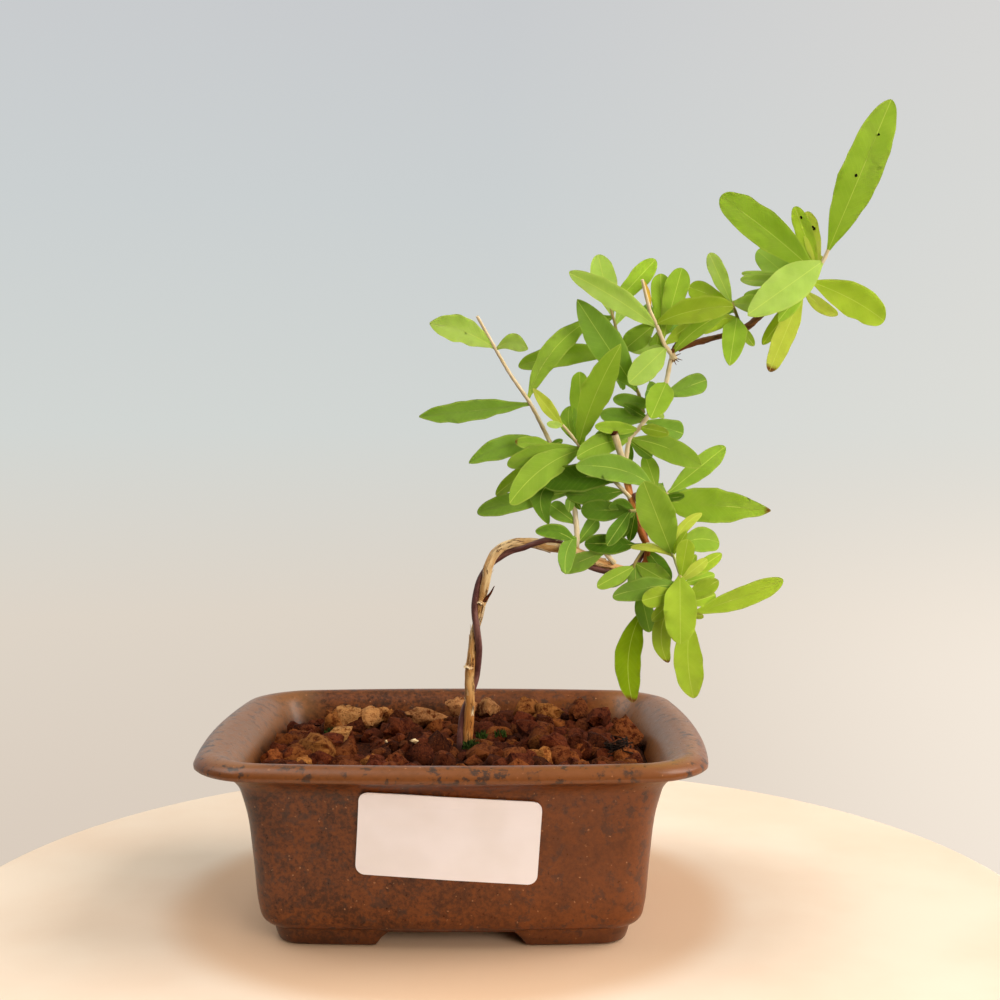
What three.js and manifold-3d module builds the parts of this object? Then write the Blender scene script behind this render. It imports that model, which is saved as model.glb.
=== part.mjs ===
// A small pomegranate bonsai: two stems twisted round each other arch out of a glazed
// pot with a turned-out lip, and carry leafy shoots that lean far over its right side.
//
// Millimetres, +Z up. The front of the pot faces -Y. While it is built, the pot stands
// on z = 0 with its middle near the Z axis; the last lines move the whole thing so that
// its origin is the middle of the bottom of its bounding box.

import * as THREE from 'three';
import { mergeVertices } from 'three/addons/utils/BufferGeometryUtils.js';
import Module from 'manifold-3d';

const wasm = await Module();
wasm.setup();

// ---------------------------------------------------------------- driving sizes

const GAP = 0.3; // clear space between pieces that touch
const BLADE = 0.6; // thickness of a leaf

// The pot, in plan: a rounded rectangle whose sides bow out a little, more so at the lip
// than at the wall. Its sizes are for a half length of 1, so that one outline serves
// every height, and the wall's passes into the lip's between two half lengths.
const PLAN = {
  middle: 0.8, halfWidth: 0.8, perQuarter: 8,
  wall: { corner: 0.13, bow: 0.04, upTo: 49 },
  lip: { corner: 0.2, bow: 0.065, from: 58 },
};

// The wall from the edge of the underside up the outside, over the lip and down the
// inside to the edge of the floor: half length of the outline, height.
const UNDERSIDE = 4.2;
const OUTER_WALL = [
  [43.6, UNDERSIDE], [45.2, 5.6], [46.1, 8.8], [47.2, 20.2], [48.2, 29.3], [49.2, 33.8],
  [50.4, 37.2], [52.8, 39.2], [57.5, 40.9], [60.6, 41.5], [61.0, 42.6],
];
const LIP = [[59.8, 44.0], [57.2, 44.8], [54.8, 44.5]];
const INNER_WALL = [
  [52.0, 43.2], [49.6, 40.6], [48.0, 37.0], [46.0, 30.0], [43.8, 14.0],
];
const FLOOR = { halfLength: 40.0, height: 9.2 };

const FOOT = { outer: 43.0, splay: 1.2, inner: 32.0, gapX: 16.6, gapY: 12.0, rise: 3.2 };
const DRAIN = { x: 20, radius: 6 };
const MESH = { size: 18, thickness: 1.0, cell: 4.4, hole: 2.6 };

const LABEL = { x: 0.4, z: 26.8, width: 41.2, height: 19.6, corner: 2.2, tilt: -3.7 };

const SOIL = {
  halfLength: 46.4, roundness: 6, crown: 39.0, edge: 37.8, cells: 18, bump: 1.2, loose: 10, seed: 11,
};

// ---------------------------------------------------------------- the plant, drawn

// The shoots are drawn from the front, as x and z on the plane y = 0, with a depth y
// for each point (+ is to the back). A point with a depth is seen from EYE where it
// was drawn, so the drawing holds its shape from there.
const EYE = new THREE.Vector3(12, -350, 118.5);

// The line between the two stems: x, z, depth, and where the dark stem lies round it,
// in degrees (0 is to the right of the way up, 90 behind, 180 left, 270 in front).
const TWIST = [
  [3.3, 31.0, 0, 200], [3.3, 42.0, 0, 178], [3.8, 47.0, 0, 148], [4.4, 51.5, 0, 90],
  [4.8, 56.0, 0, 30], [5.2, 60.0, 0, 5], [5.6, 64.0, 0, -25], [6.0, 69.0, 0, -85],
  [6.5, 73.0, 0, -140], [7.1, 77.0, 0, -178], [8.0, 81.0, 0, -215], [9.2, 84.6, 0, -275],
  [11.4, 87.5, -0.3, -335], [14.4, 89.3, -0.6, -362], [17.6, 89.9, -0.9, -395],
  [21.0, 90.2, -1.2, -450], [25.0, 89.9, -1.2, -535], [29.0, 88.7, -1.2, -625],
  [32.0, 87.0, -1.2, -690], [35.0, 85.4, -1.2, -725], [38.5, 84.2, -1.0, -745],
  [42.0, 83.2, -0.6, -790], [45.6, 83.4, 0, -850], [48.0, 85.6, 0.8, -910],
  [48.7, 88.8, 1.2, -960], [48.0, 92.0, 1.6, -1010], [46.9, 95.5, 2.2, -1060],
  [46.0, 99.0, 2.8, -1100], [44.9, 102.5, 3.0, -1130],
];
const PALE = { offset: 0.9, radii: [1.5, 1.35, 1.25, 1.2, 1.2, 1.05, 0.95, 0.85] };
const DARK = { offset: 1.65, radii: [1.0, 0.85, 0.8, 0.8, 0.8, 0.75, 0.7, 0.6] };
const STUB = [[43.7, 106.0, 3.0], [42.7, 110.6, 2.6], [41.6, 114.3, 1.6], [40.7, 117.4, 0.8]];
const SNAG = [[8.0, 75.6, -0.4], [9.5, 77.4, -1.2], [10.6, 79.4, -1.8]];

const DARK_BRANCH = {
  path: [
    [56.5, 138.2, 6.5], [58.0, 139.1, 6.7], [60.5, 140.1, 7.0], [64.0, 141.1, 7.5],
    [67.5, 142.0, 8.0], [71.0, 142.9, 8.0], [73.8, 144.4, 8.3], [76.0, 146.3, 8.7],
    [79.0, 148.6, 9.0], [83.0, 150.4, 9.5], [86.4, 151.8, 10.0], [88.8, 153.5, 10.4],
  ],
  radii: [0.35, 0.7, 0.85, 0.7, 0.65, 0.8, 0.95, 0.8, 0.65, 0.7, 0.8, 0.5],
};

/** A leaf drawn from its stalk to its tip, with its width; the rest has plain defaults. */
function leaf(from, to, width, shape = {}) {
  return { from, to, width, reach: 0, turn: 0, bow: 0, arch: 0.05, full: 0.55, ...shape };
}

// Each shoot: the path of its twig (x, z, depth), the twig's radius at both ends, and
// its leaves. A leaf's reach is how far its tip lies behind its stalk, its turn is
// about its own length in degrees, its bow is sideways (+ to the left on the way to
// the tip), its arch is towards the front as a share of its length, and full is where
// along the leaf it is widest.
const SHOOTS = {
  left_shoot: {
    path: [
      [31.2, 88.4, -1.2], [31.3, 92.0, 0], [31.0, 96.0, 2], [30.5, 100.0, 4],
      [29.6, 103.5, 5], [27.5, 109.0, 6.5], [25.2, 114.0, 7], [22.0, 120.5, 6.5],
      [19.5, 125.2, 6], [14.5, 132.5, 5], [11.5, 137.6, 4], [6.3, 146.8, 1],
    ],
    radii: [0.75, 0.4],
    leaves: [
      leaf([10.4, 139.1], [-5.5, 145.2], 5.8, { reach: -5, full: 0.58 }),
      leaf([11.0, 138.7], [19.0, 140.0], 4.4, { reach: -9, full: 0.62, turn: 20 }),
      leaf([19.4, 125.1], [-8.2, 122.0], 5.0, { reach: 4, full: 0.6 }),
      leaf([19.5, 126.5], [34.5, 146.0], 5.4, { reach: 3, bow: 2.6 }),
      leaf([24.8, 115.0], [15.8, 115.8], 3.1, { reach: -6 }),
      leaf([24.3, 115.2], [4.2, 110.5], 5.4, { reach: 1, bow: -1.9 }),
      leaf([25.0, 115.2], [27.7, 116.1], 1.3, { reach: -3 }),
      leaf([29.8, 102.9], [6.3, 98.0], 4.9, { reach: 5, bow: -0.8, full: 0.6 }),
      leaf([28.3, 107.0], [23.9, 95.3], 5.4, { reach: -2, bow: -4, full: 0.5 }),
      leaf([30.2, 102.6], [29.2, 98.3], 2.3, { reach: -4 }),
      leaf([30.7, 101.8], [32.2, 98.9], 1.3, { reach: -2 }),
      leaf([30.9, 95.2], [24.6, 99.9], 4.2, { reach: 5, full: 0.72 }),
      leaf([31.1, 92.3], [28.4, 82.7], 4.1, { reach: -9, bow: -1.2 }),
      leaf([31.6, 89.9], [36.3, 96.3], 3.5, { reach: 6, full: 0.7 }),
      leaf([30.8, 90.3], [20.9, 93.4], 3.4, { reach: -5, bow: -1.4 }),
      leaf([28.2, 107.5], [26.4, 112.0], 5.2, { reach: 17 }),
      leaf([30.5, 100.5], [33.5, 103.6], 5.0, { reach: 16 }),
    ],
  },
  centre_shoot: {
    path: [
      [44.6, 101.6, 2.0], [42.2, 104.1, 2.0], [40.3, 106.1, 2.3], [38.0, 108.0, 3],
      [35.0, 110.8, 3.5], [32.4, 113.7, 3], [30.0, 117.0, 2], [27.6, 119.8, 0.5],
    ],
    radii: [0.6, 0.35],
    leaves: [
      leaf([27.4, 120.3], [20.2, 129.0], 3.0, { reach: -3 }),
      leaf([27.3, 119.6], [23.7, 120.2], 1.6, { reach: -4 }),
      leaf([31.0, 115.6], [29.4, 124.5], 4.5, { reach: 4, bow: 1, full: 0.6 }),
      leaf([32.1, 115.0], [30.4, 122.0], 4.0, { reach: 3, turn: 60 }),
      leaf([32.4, 115.4], [42.1, 140.0], 7.0, { reach: -10, bow: 1 }),
      leaf([33.6, 114.4], [31.8, 133.0], 5.2, { reach: 7, full: 0.72 }),
      leaf([31.6, 113.0], [14.5, 100.3], 7.0, { reach: -9, bow: -2 }),
      leaf([31.0, 113.4], [13.8, 110.0], 5.0, { reach: -1, bow: -0.6 }),
      leaf([30.5, 112.6], [10.9, 102.5], 4.0, { reach: 4, bow: -1.5 }),
      leaf([40.5, 105.8], [23.0, 105.2], 6.6, { reach: -3, bow: -1.3 }),
      leaf([43.0, 103.4], [28.5, 102.6], 4.8, { reach: 1, bow: 0.5 }),
      leaf([38.0, 108.0], [36.0, 113.0], 6.0, { reach: 18 }),
      leaf([35.0, 110.8], [33.0, 108.0], 5.5, { reach: 16 }),
    ],
  },
  middle_spray: {
    path: [
      [43.1, 108.2, 4.6], [43.6, 112.0, 4.8], [44.4, 116.3, 4.4], [46.6, 118.8, 4],
      [48.2, 121.0, 4], [50.6, 124.6, 5], [52.8, 127.4, 6], [53.5, 130.5, 6.5],
      [54.3, 134.8, 6.5],
    ],
    radii: [0.65, 0.6],
    leaves: [
      leaf([46.4, 118.9], [35.7, 119.6], 3.0, { reach: -7 }),
      leaf([48.0, 121.2], [37.0, 122.6], 4.2, { reach: 3 }),
      leaf([49.5, 125.8], [40.2, 126.4], 3.4, { reach: 1 }),
      leaf([48.2, 122.0], [42.8, 125.2], 2.2, { reach: -1 }),
      leaf([46.4, 118.5], [35.6, 117.0], 3.6, { reach: -2 }),
      leaf([44.2, 116.6], [31.2, 111.8], 5.6, { reach: -10, bow: -1 }),
      leaf([48.3, 120.8], [57.8, 117.9], 4.6, { reach: 2, full: 0.75 }),
      leaf([47.0, 119.2], [54.2, 117.7], 2.8, { reach: -8 }),
      leaf([44.5, 116.5], [62.3, 109.8], 5.6, { reach: -5, bow: 1 }),
      leaf([44.3, 116.1], [50.0, 112.0], 2.9, { reach: 3 }),
      leaf([44.0, 116.0], [44.2, 110.6], 2.3, { reach: 5 }),
      leaf([52.9, 130.6], [49.7, 121.6], 6.2, { reach: -12, full: 0.45 }),
      leaf([52.9, 126.9], [63.5, 131.0], 5.0, { reach: 2, full: 0.74 }),
      leaf([50.8, 123.2], [53.0, 121.8], 1.3, { reach: -2 }),
      leaf([48.2, 121.0], [44.0, 124.0], 5.0, { reach: 17 }),
      leaf([52.8, 127.4], [48.5, 128.5], 5.0, { reach: 16 }),
    ],
  },
  top_spray: {
    path: [
      [55.0, 137.0, 6.5], [53.0, 139.6, 5], [52.0, 142.0, 4], [50.8, 144.9, 3],
      [49.4, 147.8, 2.3], [48.5, 151.0, 1.5], [47.3, 155.8, 0],
    ],
    radii: [0.65, 0.4],
    leaves: [
      leaf([53.3, 139.0], [44.2, 130.3], 6.2, { reach: -9 }),
      leaf([52.3, 138.5], [43.0, 140.3], 4.6, { reach: 3 }),
      leaf([50.6, 145.2], [43.2, 139.0], 5.4, { reach: 5 }),
      leaf([50.9, 144.2], [29.2, 157.8], 6.8, { reach: -8, bow: -0.7, full: 0.5 }),
      leaf([53.0, 141.5], [51.9, 157.3], 5.0, { reach: 4, full: 0.72 }),
      leaf([53.3, 141.3], [57.2, 158.7], 5.8, { reach: 2, full: 0.75 }),
      leaf([51.2, 145.3], [70.0, 149.5], 5.9, { reach: -9, bow: 1.2 }),
      leaf([53.8, 140.3], [60.0, 145.3], 3.0, { reach: 1 }),
      leaf([55.4, 138.0], [68.2, 148.0], 3.8, { reach: -5, bow: 1.2 }),
      leaf([51.8, 143.5], [50.8, 137.8], 3.4, { reach: 4 }),
      leaf([52.0, 142.0], [55.0, 147.0], 5.5, { reach: 18 }),
      leaf([50.8, 145.0], [47.0, 148.5], 5.0, { reach: 17 }),
    ],
  },
  inner_spray: {
    path: [
      [47.8, 122.8, 6.2], [47.4, 125.0, 7.2], [46.3, 128.2, 8], [44.0, 133.0, 9.5],
      [42.0, 138.5, 11], [40.8, 144.0, 12], [39.3, 149.5, 13],
    ],
    radii: [0.5, 0.35],
    leaves: [
      leaf([46.2, 128.3], [31.2, 151.0], 8.0, { reach: -7 }),
      leaf([42.3, 137.6], [16.6, 134.6], 5.4, { reach: 6, bow: -1.5, full: 0.6 }),
      leaf([40.0, 146.5], [36.3, 162.0], 6.0, { reach: 4, full: 0.62 }),
      leaf([39.6, 148.8], [50.6, 160.8], 5.0, { reach: 3, full: 0.65 }),
      leaf([40.6, 144.6], [43.5, 150.5], 2.8, { reach: 8 }),
      leaf([39.7, 146.7], [33.0, 144.0], 4.0, { reach: 6 }),
      leaf([44.0, 133.0], [41.0, 131.0], 5.5, { reach: 17 }),
      leaf([42.0, 138.5], [38.5, 141.0], 5.0, { reach: 16 }),
    ],
  },
  branch_spray: {
    path: [[71.6, 143.4, 7.4], [71.2, 146.0, 6.6], [70.4, 148.2, 6], [69.6, 150.2, 5.5]],
    radii: [0.5, 0.4],
    leaves: [
      leaf([69.3, 151.0], [64.0, 162.4], 4.0, { reach: -2, full: 0.6 }),
      leaf([69.3, 150.2], [78.0, 150.0], 4.3, { reach: 2 }),
      leaf([69.5, 150.6], [58.9, 154.0], 4.6, { reach: 6, full: 0.7 }),
      leaf([71.0, 146.4], [62.5, 142.9], 3.4, { reach: -2, bow: -1.1 }),
      leaf([71.3, 146.8], [69.2, 134.8], 6.0, { reach: -10, full: 0.42 }),
      leaf([71.5, 144.6], [75.3, 139.7], 2.3, { reach: -1 }),
      leaf([70.4, 148.2], [66.0, 149.5], 5.0, { reach: 17 }),
      leaf([71.0, 146.5], [70.5, 142.0], 4.5, { reach: 15 }),
    ],
  },
  crown_spray: {
    path: [
      [87.4, 153.4, 9.0], [89.3, 155.5, 8.8], [91.2, 158.8, 8.4], [92.4, 160.8, 8],
      [93.4, 163.2, 7.5],
    ],
    radii: [0.6, 0.5],
    leaves: [
      leaf([92.0, 160.5], [73.6, 147.2], 9.0, { reach: -12, full: 0.48 }),
      leaf([89.5, 158.3], [66.7, 176.4], 8.6, { reach: 8, bow: -0.9 }),
      leaf([86.0, 154.5], [75.8, 163.0], 6.0, { reach: 12 }),
      leaf([86.0, 155.5], [71.7, 156.0], 3.0, { reach: 5 }),
      leaf([86.0, 156.5], [72.0, 157.5], 1.8, { reach: 7 }),
      leaf([87.0, 153.8], [72.6, 152.0], 2.8, { reach: 8 }),
      leaf([90.0, 158.8], [85.0, 173.8], 4.2, { reach: -2 }),
      leaf([90.5, 159.0], [88.0, 172.6], 4.2, { reach: -4 }),
      leaf([92.8, 161.0], [88.5, 161.6], 2.2, { reach: 4 }),
      leaf([93.4, 163.0], [108.6, 200.0], 9.6, { reach: -6, full: 0.5 }),
      leaf([89.4, 155.5], [107.6, 145.9], 8.0, { reach: 4, bow: 0.9 }),
      leaf([87.6, 153.4], [96.0, 147.3], 3.0, { reach: -3, bow: -0.8 }),
      leaf([87.4, 153.2], [81.2, 145.6], 3.4, { reach: -7 }),
      leaf([87.4, 153.2], [79.2, 133.3], 5.0, { reach: -4 }),
      leaf([87.4, 153.4], [77.3, 140.0], 3.4, { reach: 3 }),
      leaf([89.3, 155.3], [84.0, 158.0], 6.0, { reach: 18 }),
      leaf([91.0, 158.5], [86.0, 163.0], 6.0, { reach: 16 }),
    ],
  },
  right_spray: {
    path: [[47.8, 93.6, 3.4], [49.5, 97.0, 5], [51.8, 100.5, 6.5], [54.0, 102.8, 7]],
    radii: [0.6, 0.45],
    leaves: [
      leaf([54.2, 103.0], [68.3, 114.4], 5.2, { reach: 4 }),
      leaf([52.5, 100.5], [79.8, 98.5], 8.4, { reach: -4, full: 0.4 }),
      leaf([53.2, 101.0], [58.2, 102.3], 2.0, { reach: -7 }),
      leaf([53.5, 102.8], [50.6, 104.8], 2.4, { reach: 3 }),
      leaf([50.4, 104.6], [31.0, 109.8], 6.2, { reach: -13, bow: -2 }),
      leaf([51.2, 103.8], [48.3, 112.2], 4.4, { reach: 2 }),
      leaf([51.8, 100.5], [50.0, 104.0], 6.0, { reach: 18 }),
      leaf([49.5, 97.0], [52.5, 94.0], 5.5, { reach: 17 }),
      leaf([54.0, 102.6], [59.0, 101.0], 5.5, { reach: 17 }),
    ],
  },
  hanging_spray: {
    path: [
      [48.8, 89.9, -1.4], [50.5, 89.7, -2.5], [52.8, 88.9, -4], [55.2, 87.5, -5.5],
      [56.4, 84.6, -7], [57.3, 82.0, -8], [58.8, 77.5, -8.5], [60.1, 73.2, -8],
      [59.9, 70.4, -7.5],
    ],
    radii: [0.5, 0.4],
    leaves: [
      leaf([55.5, 87.6], [48.0, 105.7], 8.6, { reach: -5 }),
      leaf([57.6, 81.8], [59.0, 91.2], 4.3, { reach: -3, full: 0.75 }),
      leaf([55.6, 87.2], [62.5, 97.8], 2.5, { reach: -5, bow: 1.8 }),
      leaf([55.8, 87.6], [58.8, 93.4], 1.8, { reach: -3 }),
      leaf([57.2, 82.4], [57.4, 65.0], 8.0, { reach: -8, full: 0.5 }),
      leaf([59.8, 70.6], [60.8, 51.3], 7.0, { reach: -3, full: 0.5, bow: -1 }),
      leaf([55.5, 75.5], [54.2, 60.3], 4.4, { bow: -2.2 }),
      leaf([56.0, 76.5], [50.2, 70.8], 3.0, { reach: -1 }),
      leaf([60.4, 72.6], [83.1, 81.0], 5.0, { reach: -3, full: 0.6, bow: -0.4 }),
      leaf([60.1, 72.3], [63.2, 71.8], 1.3, { reach: -3 }),
      leaf([60.0, 75.2], [66.2, 77.2], 3.2, { reach: 2 }),
      leaf([59.3, 76.8], [66.9, 80.8], 4.0, { reach: -2 }),
      leaf([58.3, 80.2], [65.9, 82.3], 2.6, { reach: 2 }),
      leaf([57.8, 81.2], [64.0, 86.2], 2.7, { reach: -4 }),
      leaf([58.0, 81.0], [67.6, 87.6], 3.0, { reach: 4 }),
      leaf([57.8, 82.0], [61.2, 87.3], 2.0, { reach: 6 }),
      leaf([56.3, 89.5], [67.0, 90.3], 5.8, { reach: 4, bow: 1.3 }),
      leaf([56.0, 78.0], [47.7, 75.7], 4.6, { reach: -2 }),
      leaf([57.0, 79.3], [40.3, 76.8], 4.8, { reach: 2, bow: -0.8 }),
      leaf([46.0, 89.8], [33.2, 90.2], 4.8, { reach: -2.5 }),
      leaf([58.8, 77.5], [56.0, 74.0], 6.0, { reach: 18 }),
      leaf([60.1, 73.2], [57.5, 71.0], 5.0, { reach: 17 }),
    ],
  },
  lower_spray: {
    path: [
      [48.3, 88.9, 0.2], [47.2, 87.4, -0.6], [46.0, 85.5, -1.4], [45.6, 84.4, -1.6],
      [46.3, 81.5, -0.6], [47.5, 77.5, 0.2], [48.3, 73.8, 0.6],
    ],
    radii: [0.4, 0.3],
    leaves: [
      leaf([44.8, 84.7], [36.4, 79.3], 3.8, { reach: -4 }),
      leaf([45.3, 83.8], [39.2, 79.6], 2.6, { reach: 2 }),
      leaf([46.0, 85.0], [46.3, 77.0], 4.2, { reach: -1 }),
      leaf([46.3, 85.0], [55.0, 80.0], 4.8, { reach: -3 }),
      leaf([48.4, 88.9], [54.9, 81.1], 3.8, { reach: -1 }),
      leaf([46.9, 79.2], [49.6, 68.0], 4.6, { reach: -3 }),
      leaf([48.2, 74.0], [45.4, 50.2], 6.4, { reach: -4, bow: -2.4 }),
      leaf([47.5, 77.5], [49.0, 81.0], 5.0, { reach: 16 }),
    ],
  },
  knot_spray: {
    path: [[46.2, 98.4, 0.6], [45.4, 98.3, -1.2], [44.4, 98.3, -2.8]],
    radii: [0.5, 0.4],
    leaves: [
      leaf([44.6, 98.4], [32.3, 98.7], 5.1, { reach: 3, full: 0.6 }),
      leaf([45.6, 99.3], [39.2, 99.4], 2.7, { reach: -2, bow: -1.2 }),
      leaf([44.6, 98.0], [38.9, 89.8], 3.7, { reach: -5 }),
      leaf([45.2, 98.0], [41.4, 91.2], 2.9, { reach: 1 }),
      leaf([46.0, 97.3], [44.5, 91.0], 2.6, { reach: 2 }),
      leaf([45.6, 98.0], [43.9, 96.9], 1.4, { reach: -2 }),
    ],
  },
  bend_spray: {
    path: [[40.6, 85.2, -1.4], [39.2, 86.8, -2.4], [38.0, 88.0, -3.0]],
    radii: [0.75, 0.5],
    leaves: [
      leaf([38.0, 88.0], [27.3, 83.6], 4.3, { reach: 1 }),
      leaf([38.6, 87.4], [41.0, 91.0], 5.0, { reach: 15 }),
    ],
  },
};

// ---------------------------------------------------------------- solids and meshes

/** A closed three.js geometry as a manifold solid with its faces pointing out. */
function solid(geometry) {
  const bare = geometry.clone();
  bare.deleteAttribute('normal');
  bare.deleteAttribute('uv');
  const merged = mergeVertices(bare, 1e-4);
  const points = merged.attributes.position.array;
  const triangles = [];
  for (let i = 0; i < merged.index.count; i += 3) {
    const [a, b, c] = [0, 1, 2].map((k) => merged.index.getX(i + k));
    if (a !== b && b !== c && c !== a) triangles.push(a, b, c);
  }
  const build = (triVerts) => new wasm.Manifold(new wasm.Mesh({
    numProp: 3,
    vertProperties: Float32Array.from(points),
    triVerts: Uint32Array.from(triVerts),
  }));
  const made = build(triangles);
  return made.volume() > 0 ? made : build(triangles.reverse());
}

/** The solids joined to one, without the loose scraps that cutting may have left. */
function joined(solids) {
  return solids.reduce((all, next) => all.add(next));
}

/** The largest body of a solid. */
function mainBody(whole) {
  return whole.decompose().reduce((a, b) => (a.volume() > b.volume() ? a : b));
}

/** A named mesh of a manifold solid. */
function piece(name, shape, color, roughness, metalness = 0) {
  const { vertProperties, triVerts } = shape.getMesh();
  const geometry = new THREE.BufferGeometry();
  geometry.setAttribute('position', new THREE.BufferAttribute(Float32Array.from(vertProperties), 3));
  geometry.setIndex(new THREE.BufferAttribute(Uint32Array.from(triVerts), 1));
  geometry.computeVertexNormals();
  const material = new THREE.MeshStandardMaterial({ color, roughness, metalness });
  const mesh = new THREE.Mesh(geometry, material);
  mesh.name = name;
  return mesh;
}

/** Moves every vertex of a geometry by a function that changes the given vector. */
function warp(geometry, move) {
  const position = geometry.attributes.position;
  const vertex = new THREE.Vector3();
  for (let i = 0; i < position.count; i++) {
    vertex.fromBufferAttribute(position, i);
    move(vertex);
    position.setXYZ(i, vertex.x, vertex.y, vertex.z);
  }
  return geometry;
}

/** Repeatable draws from 0 to 1: each call stirs the bits of a counter. */
function draws(seed) {
  let state = seed;
  return () => {
    state = (state + 0x6d2b79f5) | 0;
    let bits = Math.imul(state ^ (state >>> 15), state | 1);
    bits ^= bits + Math.imul(bits ^ (bits >>> 7), bits | 61);
    return ((bits ^ (bits >>> 14)) >>> 0) / 2 ** 32;
  };
}

// ---------------------------------------------------------------- the pot

/** A plan for a half length of 1: points anticlockwise from the middle of the right. */
function planOutline({ corner, bow }) {
  const { halfWidth, perQuarter } = PLAN;
  const onArc = 4;
  const onSide = (perQuarter - onArc) / 2;
  const quarter = [];
  for (let i = 0; i < onSide; i++) {
    quarter.push([1, ((halfWidth - corner) * i) / onSide]);
  }
  for (let i = 0; i <= onArc; i++) {
    const angle = (Math.PI / 2) * (i / onArc);
    quarter.push([1 - corner + corner * Math.cos(angle), halfWidth - corner + corner * Math.sin(angle)]);
  }
  for (let i = 1; i < onSide; i++) {
    quarter.push([(1 - corner) * (1 - i / onSide), halfWidth]);
  }
  const bowed = quarter.map(([x, y]) => [
    x * (1 - bow) + bow * x ** 4 * (1 - (y / halfWidth) ** 2),
    y * (1 - bow) + bow * (y / halfWidth) ** 4 * (1 - x ** 2),
  ]);
  const outline = [];
  for (let turn = 0; turn < 4; turn++) {
    for (let i = 0; i < perQuarter; i++) {
      if (turn === 0) outline.push(bowed[i]);
      if (turn === 1) outline.push(mirror(bowed, i, -1, 1));
      if (turn === 2) outline.push([-bowed[i][0], -bowed[i][1]]);
      if (turn === 3) outline.push(mirror(bowed, i, 1, -1));
    }
  }
  return outline;

  function mirror(points, i, signX, signY) {
    const [x, y] = i === 0 ? [0, halfWidth * (1 - bow) + bow] : points[perQuarter - i];
    return [x * signX, y * signY];
  }
}

const WALL_OUTLINE = planOutline(PLAN.wall);
const LIP_OUTLINE = planOutline(PLAN.lip);

/** A solid of revolution whose circles are pressed into the pot's outlines. */
function potTurned(profile) {
  const around = WALL_OUTLINE.length;
  const turned = new THREE.LatheGeometry(profile.map(([r, z]) => new THREE.Vector2(r, z)), around);
  warp(turned, (vertex) => {
    const radius = Math.hypot(vertex.x, vertex.z);
    const step = Math.round((Math.atan2(vertex.z, vertex.x) / (2 * Math.PI)) * around);
    const number = (step + around) % around;
    const share = THREE.MathUtils.smoothstep(radius, PLAN.wall.upTo, PLAN.lip.from);
    const [wall, lip] = [WALL_OUTLINE[number], LIP_OUTLINE[number]];
    const [x, y] = wall.map((size, axis) => THREE.MathUtils.lerp(size, lip[axis], share));
    vertex.set(PLAN.middle + radius * x, radius * y, vertex.y);
  });
  return solid(turned);
}

/** Everything inside the pot's outer face, grown by a margin. */
function wallGrown(margin) {
  const side = OUTER_WALL.map(([r, z]) => [r + margin, z]);
  return potTurned([[0, UNDERSIDE], ...side, [0, 42.6]]);
}

function makePot() {
  const shell = potTurned([
    [0, UNDERSIDE], ...OUTER_WALL, ...LIP, ...INNER_WALL,
    [FLOOR.halfLength, FLOOR.height], [0, FLOOR.height],
  ]);
  const { outer, splay, inner, gapX, gapY, rise } = FOOT;
  const ring = potTurned([
    [inner, 0], [outer - splay, 0], [outer, UNDERSIDE + 0.4], [inner, UNDERSIDE + 0.4], [inner, 0],
  ]);
  let pot = shell.add(ring);
  pot = pot.subtract(archway(gapX, rise));
  pot = pot.subtract(archway(gapY, rise, true));
  for (const side of [-1, 1]) {
    const drain = new THREE.CylinderGeometry(DRAIN.radius, DRAIN.radius, 12, 20);
    drain.rotateX(Math.PI / 2);
    drain.translate(PLAN.middle + side * DRAIN.x, 0, UNDERSIDE + 2);
    pot = pot.subtract(solid(drain));
  }
  return pot;
}

/** The low opening between two feet, right through under the pot. */
function archway(half, rise, sideways = false) {
  const arch = new THREE.Shape();
  arch.moveTo(-half - 2, -1);
  arch.lineTo(-half - 0.5, rise * 0.6);
  arch.quadraticCurveTo(-half + 0.4, rise, -half + 2.5, rise);
  arch.lineTo(half - 2.5, rise);
  arch.quadraticCurveTo(half - 0.4, rise, half + 0.5, rise * 0.6);
  arch.lineTo(half + 2, -1);
  const cut = new THREE.ExtrudeGeometry(arch, { depth: 140, bevelEnabled: false, curveSegments: 3 });
  cut.translate(0, 0, -70);
  cut.rotateX(Math.PI / 2);
  if (sideways) cut.rotateZ(Math.PI / 2);
  return solid(cut.translate(PLAN.middle, 0, 0));
}

/** A square of plastic mesh that lies over the drain hole on one side. */
function makeDrainMesh(side) {
  const { size, thickness, cell, hole } = MESH;
  const x = PLAN.middle + side * DRAIN.x;
  const height = FLOOR.height + GAP + thickness / 2;
  let plate = solid(new THREE.BoxGeometry(size, size, thickness).translate(x, 0, height));
  for (let i = -1; i <= 1; i++) {
    for (let j = -1; j <= 1; j++) {
      const opening = new THREE.BoxGeometry(hole, hole, 3 * thickness);
      opening.translate(x + i * cell, j * cell, height);
      plate = plate.subtract(solid(opening));
    }
  }
  return plate;
}

/** The sticker: an upright rounded rectangle, cut to a layer that follows the wall. */
function makeLabel() {
  const { x, z, width, height, corner, tilt } = LABEL;
  const [w, h] = [width / 2, height / 2];
  const card = new THREE.Shape();
  card.moveTo(-w + corner, -h);
  card.lineTo(w - corner, -h);
  card.absarc(w - corner, -h + corner, corner, -Math.PI / 2, 0);
  card.absarc(w - corner, h - corner, corner, 0, Math.PI / 2);
  card.absarc(-w + corner, h - corner, corner, Math.PI / 2, Math.PI);
  card.absarc(-w + corner, -h + corner, corner, Math.PI, 1.5 * Math.PI);
  const prism = new THREE.ExtrudeGeometry(card, { depth: 60, bevelEnabled: false, curveSegments: 4 });
  prism.rotateZ(THREE.MathUtils.degToRad(tilt));
  prism.rotateX(Math.PI / 2);
  prism.translate(x, 0, z);
  return solid(prism).intersect(wallGrown(GAP + BLADE)).subtract(wallGrown(GAP));
}

// ---------------------------------------------------------------- the soil

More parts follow.
